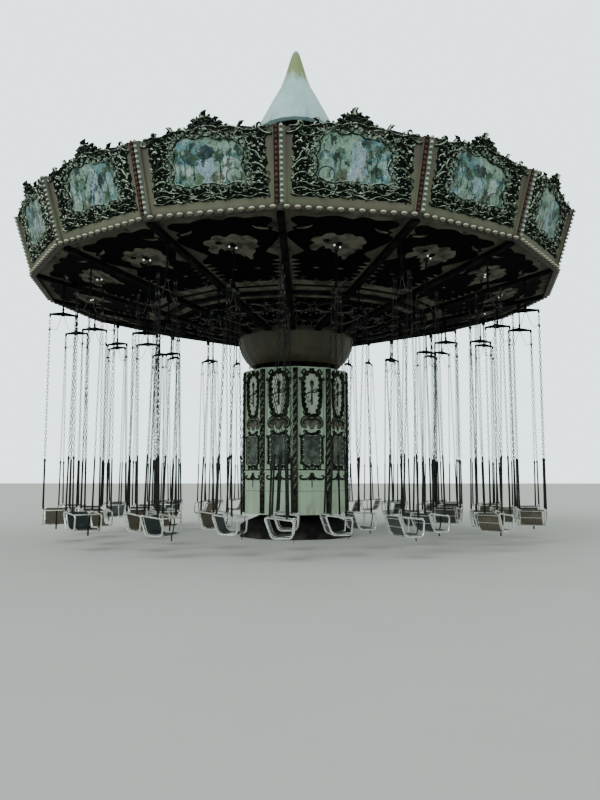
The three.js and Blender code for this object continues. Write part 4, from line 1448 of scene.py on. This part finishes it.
column_dark = weathered(
    "column_ornament_paint", (9, 5), ((0.006, 0.011, 0.008), (0.03, 0.038, 0.028)), (0.4, 0.7),
    (0.6, 0.2), None, 0.0008,
    # Painted highlight: pale on the crests of the strokes, in patches.
    ((0.13, 0.15, 0.115), lambda f, cloud: (
        f.kept("ridge").between(0.75, 1.0) * cloud.between(0.47, 0.6) * 0.8)),
    ((0.06, 0.045, 0.032), lambda f, cloud: f.noise(1.3, 2).between(0.52, 0.62) * 0.35), **MATT)
heart_shade = weathered(
    "column_heart_paint", (6, 4), ((0.075, 0.08, 0.06), (0.17, 0.175, 0.135)), (0.35, 0.65), (0.5, 0.2),
    None, 0.0008, ((0.42, 0.48, 0.40), lambda f, cloud: (1 - f.kept("ridge")).between(0.3, 0.7)), **MATT)
pale_paint = weathered(
    "pale_moulding_paint", (5, 4), ((0.46, 0.55, 0.46), (0.62, 0.68, 0.58)), (0.35, 0.65), (0.4, 0.2),
    None, 0.0006, ((0.18, 0.2, 0.15), lambda f, cloud: f.streaks(14) * 0.45))
on_column = {"slot": "column_paint", "count": COLUMN_SIDES, "body": "tower"}
face_paints = (column_dark, pale_paint, heart_shade, old_mirror())
for (name, form), material in zip(face_forms.items(), face_paints):
    ring_piece(f"column_{name}", form, face, material, **on_column)
beads = evenly(smoothed(mirrored(MIRROR), 3), 0.035)
beads = [(x * 1.06, MIRROR_MIDDLE + (y - MIRROR_MIDDLE) * 1.03, 0.008) for x, y in beads]
lamps("column_beads", cups, beads, face, pale_paint, **on_column, radius=0.011, deep=0.02)

# %% Pilasters with bulbs
PILASTER_FOOT, PILASTER_TOP = 0.58, 3.93
BULBS, BULB_PITCH, FIRST_BULB = 28, 0.1, 1.12
pilaster_brown = weathered(
    "pilaster_paint", (8, 4), ((0.008, 0.009, 0.007), (0.045, 0.04, 0.03)), (0.45, 0.65), (0.55, 0.2),
    None, 0.0008, **MATT)
edge = stood(COLUMN_TURN, COLUMN_R, 0)
form = Form()
for u, half, front in ((0.0, 0.042, 0.028), (-0.05, 0.008, 0.02), (0.05, 0.008, 0.02)):
    plate(form, box(u - half, u + half, PILASTER_FOOT, PILASTER_TOP), -0.03, front, 0.003)
ring_piece("column_pilasters", form, edge, pilaster_brown, **on_column)
bulbs = [(side * 0.05, FIRST_BULB + BULB_PITCH * n, 0.024) for n in range(BULBS) for side in (-1, 1)]
lamps("column_bulbs", globes, bulbs, edge, old_glass, **on_column, radius=0.016)
form = Form()
for n in range(BULBS - 1):
    low, high = (-0.028, 1.14 + BULB_PITCH * n), (0.028, 1.2 + BULB_PITCH * n)
    scroll(form, "comma", low, high, 0.034, n % 2 == 0, SHARP, base=0.026)
ring_piece("pilaster_scrolls", form, edge, heart_shade, **on_column)

# %% [markdown]
# ## The chairs
# All 48 chairs are alike. Two loops of bent bright tube make the sides, cross tubes join them,
# and a bent panel makes seat and back. Four chains hang from a spreader bar and meet the arm
# rests, black hose covers their lower ends, and a short rod carries the bar from the pin in
# the crown. They could share one mesh and be placed as objects, but here every piece keeps its
# object at the origin. So a chair is built once for each row, facing +X, and its mesh is then
# copied, turned and set in its place.

# %% Finishes of the chairs
def bright_tube():
    f = Finish("bright_bent_tube")
    dull = f.noise(19, 5).between(0.52, 0.72)
    colour = f.mix((0.60, 0.64, 0.60), (0.80, 0.83, 0.80), f.noise(7, 4).between(0.3, 0.6))
    colour = f.mix(colour, (0.20, 0.20, 0.16), dull * 0.7)
    return f.done(colour, 0.24 + 0.4 * dull, f.noise(70, 2), 0.0004, Metallic=0.85)


def panel_paint():
    f = Finish("seat_panel_paint")
    tint = f.kept("tint", "Color")
    cloud = f.noise(6, 5)
    scuffs = f.noise(22, 5, (1, 1, 0.3)).between(0.6, 0.7)
    colour = f.mix(tint, f.mix(tint, (0.20, 0.19, 0.16), 0.3), cloud.between(0.45, 0.75))
    return f.done(f.mix(colour, (0.012, 0.012, 0.012), scuffs * 0.6), 0.4 + 0.3 * cloud, scuffs, 0.0005)


tube_finish, panel_finish = bright_tube(), panel_paint()
chain_finish = weathered(
    "galvanised_chain", (11, 4), ((0.012, 0.014, 0.012), (0.085, 0.095, 0.085)), (0.4, 0.65),
    (0.5, 0.2), (90, 2), 0.0004, Metallic=0.3)
hose_finish = weathered(
    "black_hose_and_webbing", (9, 4), ((0.010, 0.012, 0.011), (0.032, 0.034, 0.03)), (0.4, 0.7),
    (0.55, 0.2), (120, 2), 0.0004, **MATT)
TUBE, PANEL, DARK, CHAIN, HOSE = 0, 1, 2, 0, 1  # a finish's place on its mesh
print("A chair's frame has", DARK + 1, "finishes, its chains and fittings have", HOSE + 1)

# %% Sizes of a chair
SEAT_Z = 0.4
# Corners of a side loop and lines of the panel, as (forward, over the seat) points
HEEL, TOE, ARM, SHOULDER = (-0.15, 0.0), (0.19, 0.0), (0.215, 0.285), (-0.275, 0.345)
SEAT = [(0.185, 0.022), (0.16, 0.034), (0.06, 0.018), (-0.06, 0.014), (-0.12, 0.03)]
BACK = [(-0.165, 0.075), (-0.185, 0.13), (-0.215, 0.22), (-0.24, 0.3), (-0.258, 0.335)]
STRAP = [(0.25, 0.30), (0.255, 0.2), (0.225, 0.06), (0.205, 0.0), (0.20, -0.06), (0.205, -0.1)]
CROSS_TUBES = ((-0.12, 0.0, 0.011), (0.15, 0.0, 0.011), (-0.205, 0.16, 0.009), (-0.262, 0.3, 0.011))
SIDE_Y, PANEL_HALF, EDGE_Y = 0.271, 0.215, 0.225
TUBE_R = 0.0155
CHAIN_FEET, CHAIN_Y, HOSE_TOP = (0.10, -0.185), 0.274, 1.8
ROWS = [(5.54, 5.02, True), (4.87, 4.92, False), (3.72, 4.72, True)]  # radius, bar's height, under an arm


def lifted(line, up=0.0):
    """A chair's (forward, over the seat) points as (forward, over the ground)."""
    return [(x, SEAT_Z + z + up) for x, z in line]


def arm_rest(x):
    return SEAT_Z + ARM[1] + (ARM[0] - x) * (SHOULDER[1] - ARM[1]) / (ARM[0] - SHOULDER[0])


print("The arm rests lie", round(arm_rest(0), 2), "m over the ground")


# %% The chair's frame, panel and hanger
def bent_panel(form, line, half, thick, tint=(1, 1, 1), corner=0.0):
    """A sheet that follows a line of (forward, up) points, with corners cut at both ends."""
    rings = []
    for i, (x, z) in enumerate(line):
        along = heading_at(line, i) * thick / 2
        wide = half - (corner if i in (0, len(line) - 1) else 0)
        rings.append([
            (x - along.y * side, y, z + along.x * side)
            for side, y in ((1, -wide), (1, wide), (-1, wide), (-1, -wide))
        ])
    form.loft(rings, finish=PANEL, tint=tint, ridges=[1.0] * (4 * len(line)))


def chair_frame(form, tint):
    for y in (-SIDE_Y, SIDE_Y):
        loop = bent([(x, y, z) for x, z in lifted((SHOULDER, ARM, TOE, HEEL))], 0.06)
        pipe(form, loop, TUBE_R, closed=True, finish=TUBE)
    for x, z, radius in CROSS_TUBES:
        pipe(form, [(x, -SIDE_Y, SEAT_Z + z), (x, SIDE_Y, SEAT_Z + z)], radius, 6, finish=TUBE)
    bar = [(0.19, -SIDE_Y), (0.24, -0.2), (0.25, 0.0), (0.24, 0.2), (0.19, SIDE_Y)]
    pipe(form, [(x, y, arm_rest(0.2) + 0.012) for x, y in bar], 0.012, 6, finish=TUBE)
    bent_panel(form, lifted(SEAT + BACK), PANEL_HALF, 0.012, tint, 0.03)
    for y in (-EDGE_Y, EDGE_Y):
        pipe(form, [(x, y, z) for x, z in lifted(SEAT + BACK, 0.004)], 0.008, 5, finish=TUBE)


def hanger(form, bar_z, pivot_z):
    pipe(form, [(0, 0, pivot_z - 0.02), (0, 0, bar_z + 0.12)], 0.016, finish=DARK)
    pin = [(x, 0, pivot_z) for x in (-0.026, -0.012, 0.012, 0.026)]
    pipe(form, pin, [0.014, 0.03, 0.03, 0.014], finish=DARK)
    hub = [(0, -0.035), (0.034, -0.035), (0.046, -0.01), (0.04, 0.03), (0.022, 0.07), (0.024, 0.115),
           (0.034, 0.125), (0.018, 0.145), (0, 0.145)]
    turned(form, [(r, bar_z + z) for r, z in hub], 10, finish=DARK)
    wing = [(-0.278, -0.018), (0.278, -0.018), (0.278, 0.012), (0.06, 0.052), (-0.06, 0.052), (-0.278, 0.012)]
    form.loft([[(x, y, bar_z + z) for y, z in wing] for x in (-0.005, 0.005)], finish=DARK)
    pipe(form, [(0, -0.28, bar_z - 0.018), (0, 0.28, bar_z - 0.018)], 0.013, finish=DARK)


tried = Form()
chair_frame(tried, (1, 1, 1))
print("A chair's frame and panel have", len(tried.faces), "faces")

# %% [markdown]
# ## Chains
# The chairs hang on welded chain, in which every link lies across the last one. An Array
# modifier could repeat a link with a quarter turn each time, but its offset would have to be
# worked out for every chain. A tree sets a ring at every step of a line instead, so a chain
# only needs its two ends.

# %% Chains as Geometry Nodes
links = Recipe("chain_links", pitch=0.075, wire=0.0058, slim=0.42)
line = links.node("GeometryNodeMeshToCurve", None, {"Mesh": links.size("Geometry")})
steps = {"Curve": line, "Length": links.size("pitch")}
marks = links.node("GeometryNodeCurveToPoints", {"mode": "LENGTH"}, steps)
along_chain = Value(links, marks.socket.node.outputs["Rotation"])
quarter = (links.node("GeometryNodeInputIndex") % 2) * (pi / 2)  # each link lies across the last one
turns = {"Rotation": along_chain, "Rotate By": turn_about_z(links, quarter)}
turns = links.node("FunctionNodeRotateRotation", {"rotation_space": "LOCAL"}, turns)
circle = "GeometryNodeCurvePrimitiveCircle"
ring = links.node(circle, {"mode": "RADIUS"}, {"Resolution": 8, "Radius": links.size("pitch") * 0.6})
slim = links.node("ShaderNodeCombineXYZ", None, {"X": links.size("slim"), "Y": 1.0, "Z": 1.0})
ring = links.node("GeometryNodeTransform", None, {"Geometry": ring, "Scale": slim})
ring = links.node("GeometryNodeTransform", None, {"Geometry": ring, "Rotation": (pi / 2, 0, 0)})
wire = links.node(circle, {"mode": "RADIUS"}, {"Resolution": 3, "Radius": links.size("wire")})
link = links.node("GeometryNodeCurveToMesh", None, {"Curve": ring, "Profile Curve": wire})
links.ends(marks, link, Rotation=turns)
print("The tree of the links has", len(links.tree.nodes), "nodes")


# %% Chains, hoses and straps of one chair
def chain_lines(bar_z):
    """The four chains of a chair, each from the bar's end down to its foot on an arm rest."""
    return [
        (Vector((copysign(0.02, x), side * CHAIN_Y, bar_z - 0.03)), Vector((x, side * CHAIN_Y, arm_rest(x))))
        for x in CHAIN_FEET for side in (-1, 1)
    ]


def hang_chains(row, bar_z):
    places = []
    for top, foot in chain_lines(bar_z):
        places += [top, top.lerp(foot, (bar_z - HOSE_TOP) / (top.z - foot.z))]
    mesh = bpy.data.meshes.new("chain_lines")
    mesh.from_pydata(places, [(0, 1), (2, 3), (4, 5), (6, 7)], [])
    return links.makes(f"row_{row}_links", mesh, chain_finish)


def fittings(form, bar_z):
    """Hoses, shackles, slack safety chains and the strap of one chair."""
    for top, foot in chain_lines(bar_z):
        slope = (top - foot) / (top.z - foot.z)
        start, end = foot + slope * 0.03, foot + slope * (HOSE_TOP - foot.z)
        hose = [start, start + slope * 0.3, end - slope * 0.02, end]
        pipe(form, hose, [0.02, 0.018, 0.017, 0.012], finish=HOSE)
        for x in (-0.02, 0.02):
            ends = [foot + Vector((x, 0, -0.02)), foot + Vector((x * 0.4, 0, 0.045))]
            pipe(form, ends, 0.007, 5, finish=CHAIN)
        knot = foot + slope * (top.z - foot.z - 0.33)
        knot = [knot + slope * up for up in (-0.035, -0.012, 0.012, 0.035)]
        pipe(form, knot, [0.008, 0.016, 0.016, 0.008], 6, finish=CHAIN)
        shackle = [top + slope * up for up in (-0.05, -0.015, 0.02)]
        pipe(form, shackle, [0.01, 0.015, 0.012], 6, finish=CHAIN)
    slack = [(0, 0.02, -0.03), (0.004, 0.09, -0.24), (0.006, 0.15, -0.35), (0.006, 0.21, -0.36)]
    slack.append((0.0, 0.268, -0.33))
    for side in (-1, 1):
        loop = [(x, side * y, bar_z + z) for x, y, z in smoothed(slack, 2, closed=False)]
        pipe(form, loop, 0.006, 5, finish=CHAIN)
    bent_panel(form, lifted(STRAP), 0.016, 0.005)


print("The hoses are", round(HOSE_TOP - arm_rest(0), 2), "m long")


# %% Build one chair a row and copy it round the crown
SLATE_PANEL, TAN_PANEL, COAL_PANEL = (0.014, 0.026, 0.030), (0.095, 0.080, 0.056), (0.034, 0.042, 0.032)
PANEL_ORDER = (SLATE_PANEL, TAN_PANEL, SLATE_PANEL, COAL_PANEL, TAN_PANEL)
pins = {joint["name"]: joint["pos_m"] for joint in frame["joints"]}
tally = 0
for row, (radius, bar_z, on_arm) in enumerate(ROWS):
    pivot_z = pins[f"chair_swing_{row * SIDES + 1:02d}"][2]
    kinds = {}
    for tint in (SLATE_PANEL, TAN_PANEL, COAL_PANEL):
        form = Form()
        chair_frame(form, tint)
        hanger(form, bar_z, pivot_z)
        kinds[tint] = form.mesh(f"row_{row}_chair", tube_finish, panel_finish, steel_paint)
    form = Form()
    fittings(form, bar_z)
    small = form.mesh(f"row_{row}_fittings", chain_finish, hose_finish)
    both = bmesh.new()
    both.from_mesh(hang_chains(row, bar_z))
    both.from_mesh(small)
    both.to_mesh(small)
    both.free()
    print(f"Row {row} has {triangles(kinds[SLATE_PANEL])} and {triangles(small)} triangles a chair")
    for n in range(SIDES):
        number = f"{row * SIDES + n + 1:02d}"
        azimuth = (0 if on_arm else BAY / 2) + n * BAY
        place = Matrix.Translation((radius * sin(azimuth), -radius * cos(azimuth), 0))
        place = place @ Matrix.Rotation(azimuth, 4, "Z")
        for kind, source in (("frame", kinds[PANEL_ORDER[(3 * n + 2 * row) % 5]]), ("chains", small)):
            mesh = source.copy()
            mesh.transform(place)
            piece = show(f"chair_{kind}_{number}", mesh, f"swing_{number}")
            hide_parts(f"chair_{number}")
            tally += triangles(mesh)
print("The chairs have", tally, "triangles")
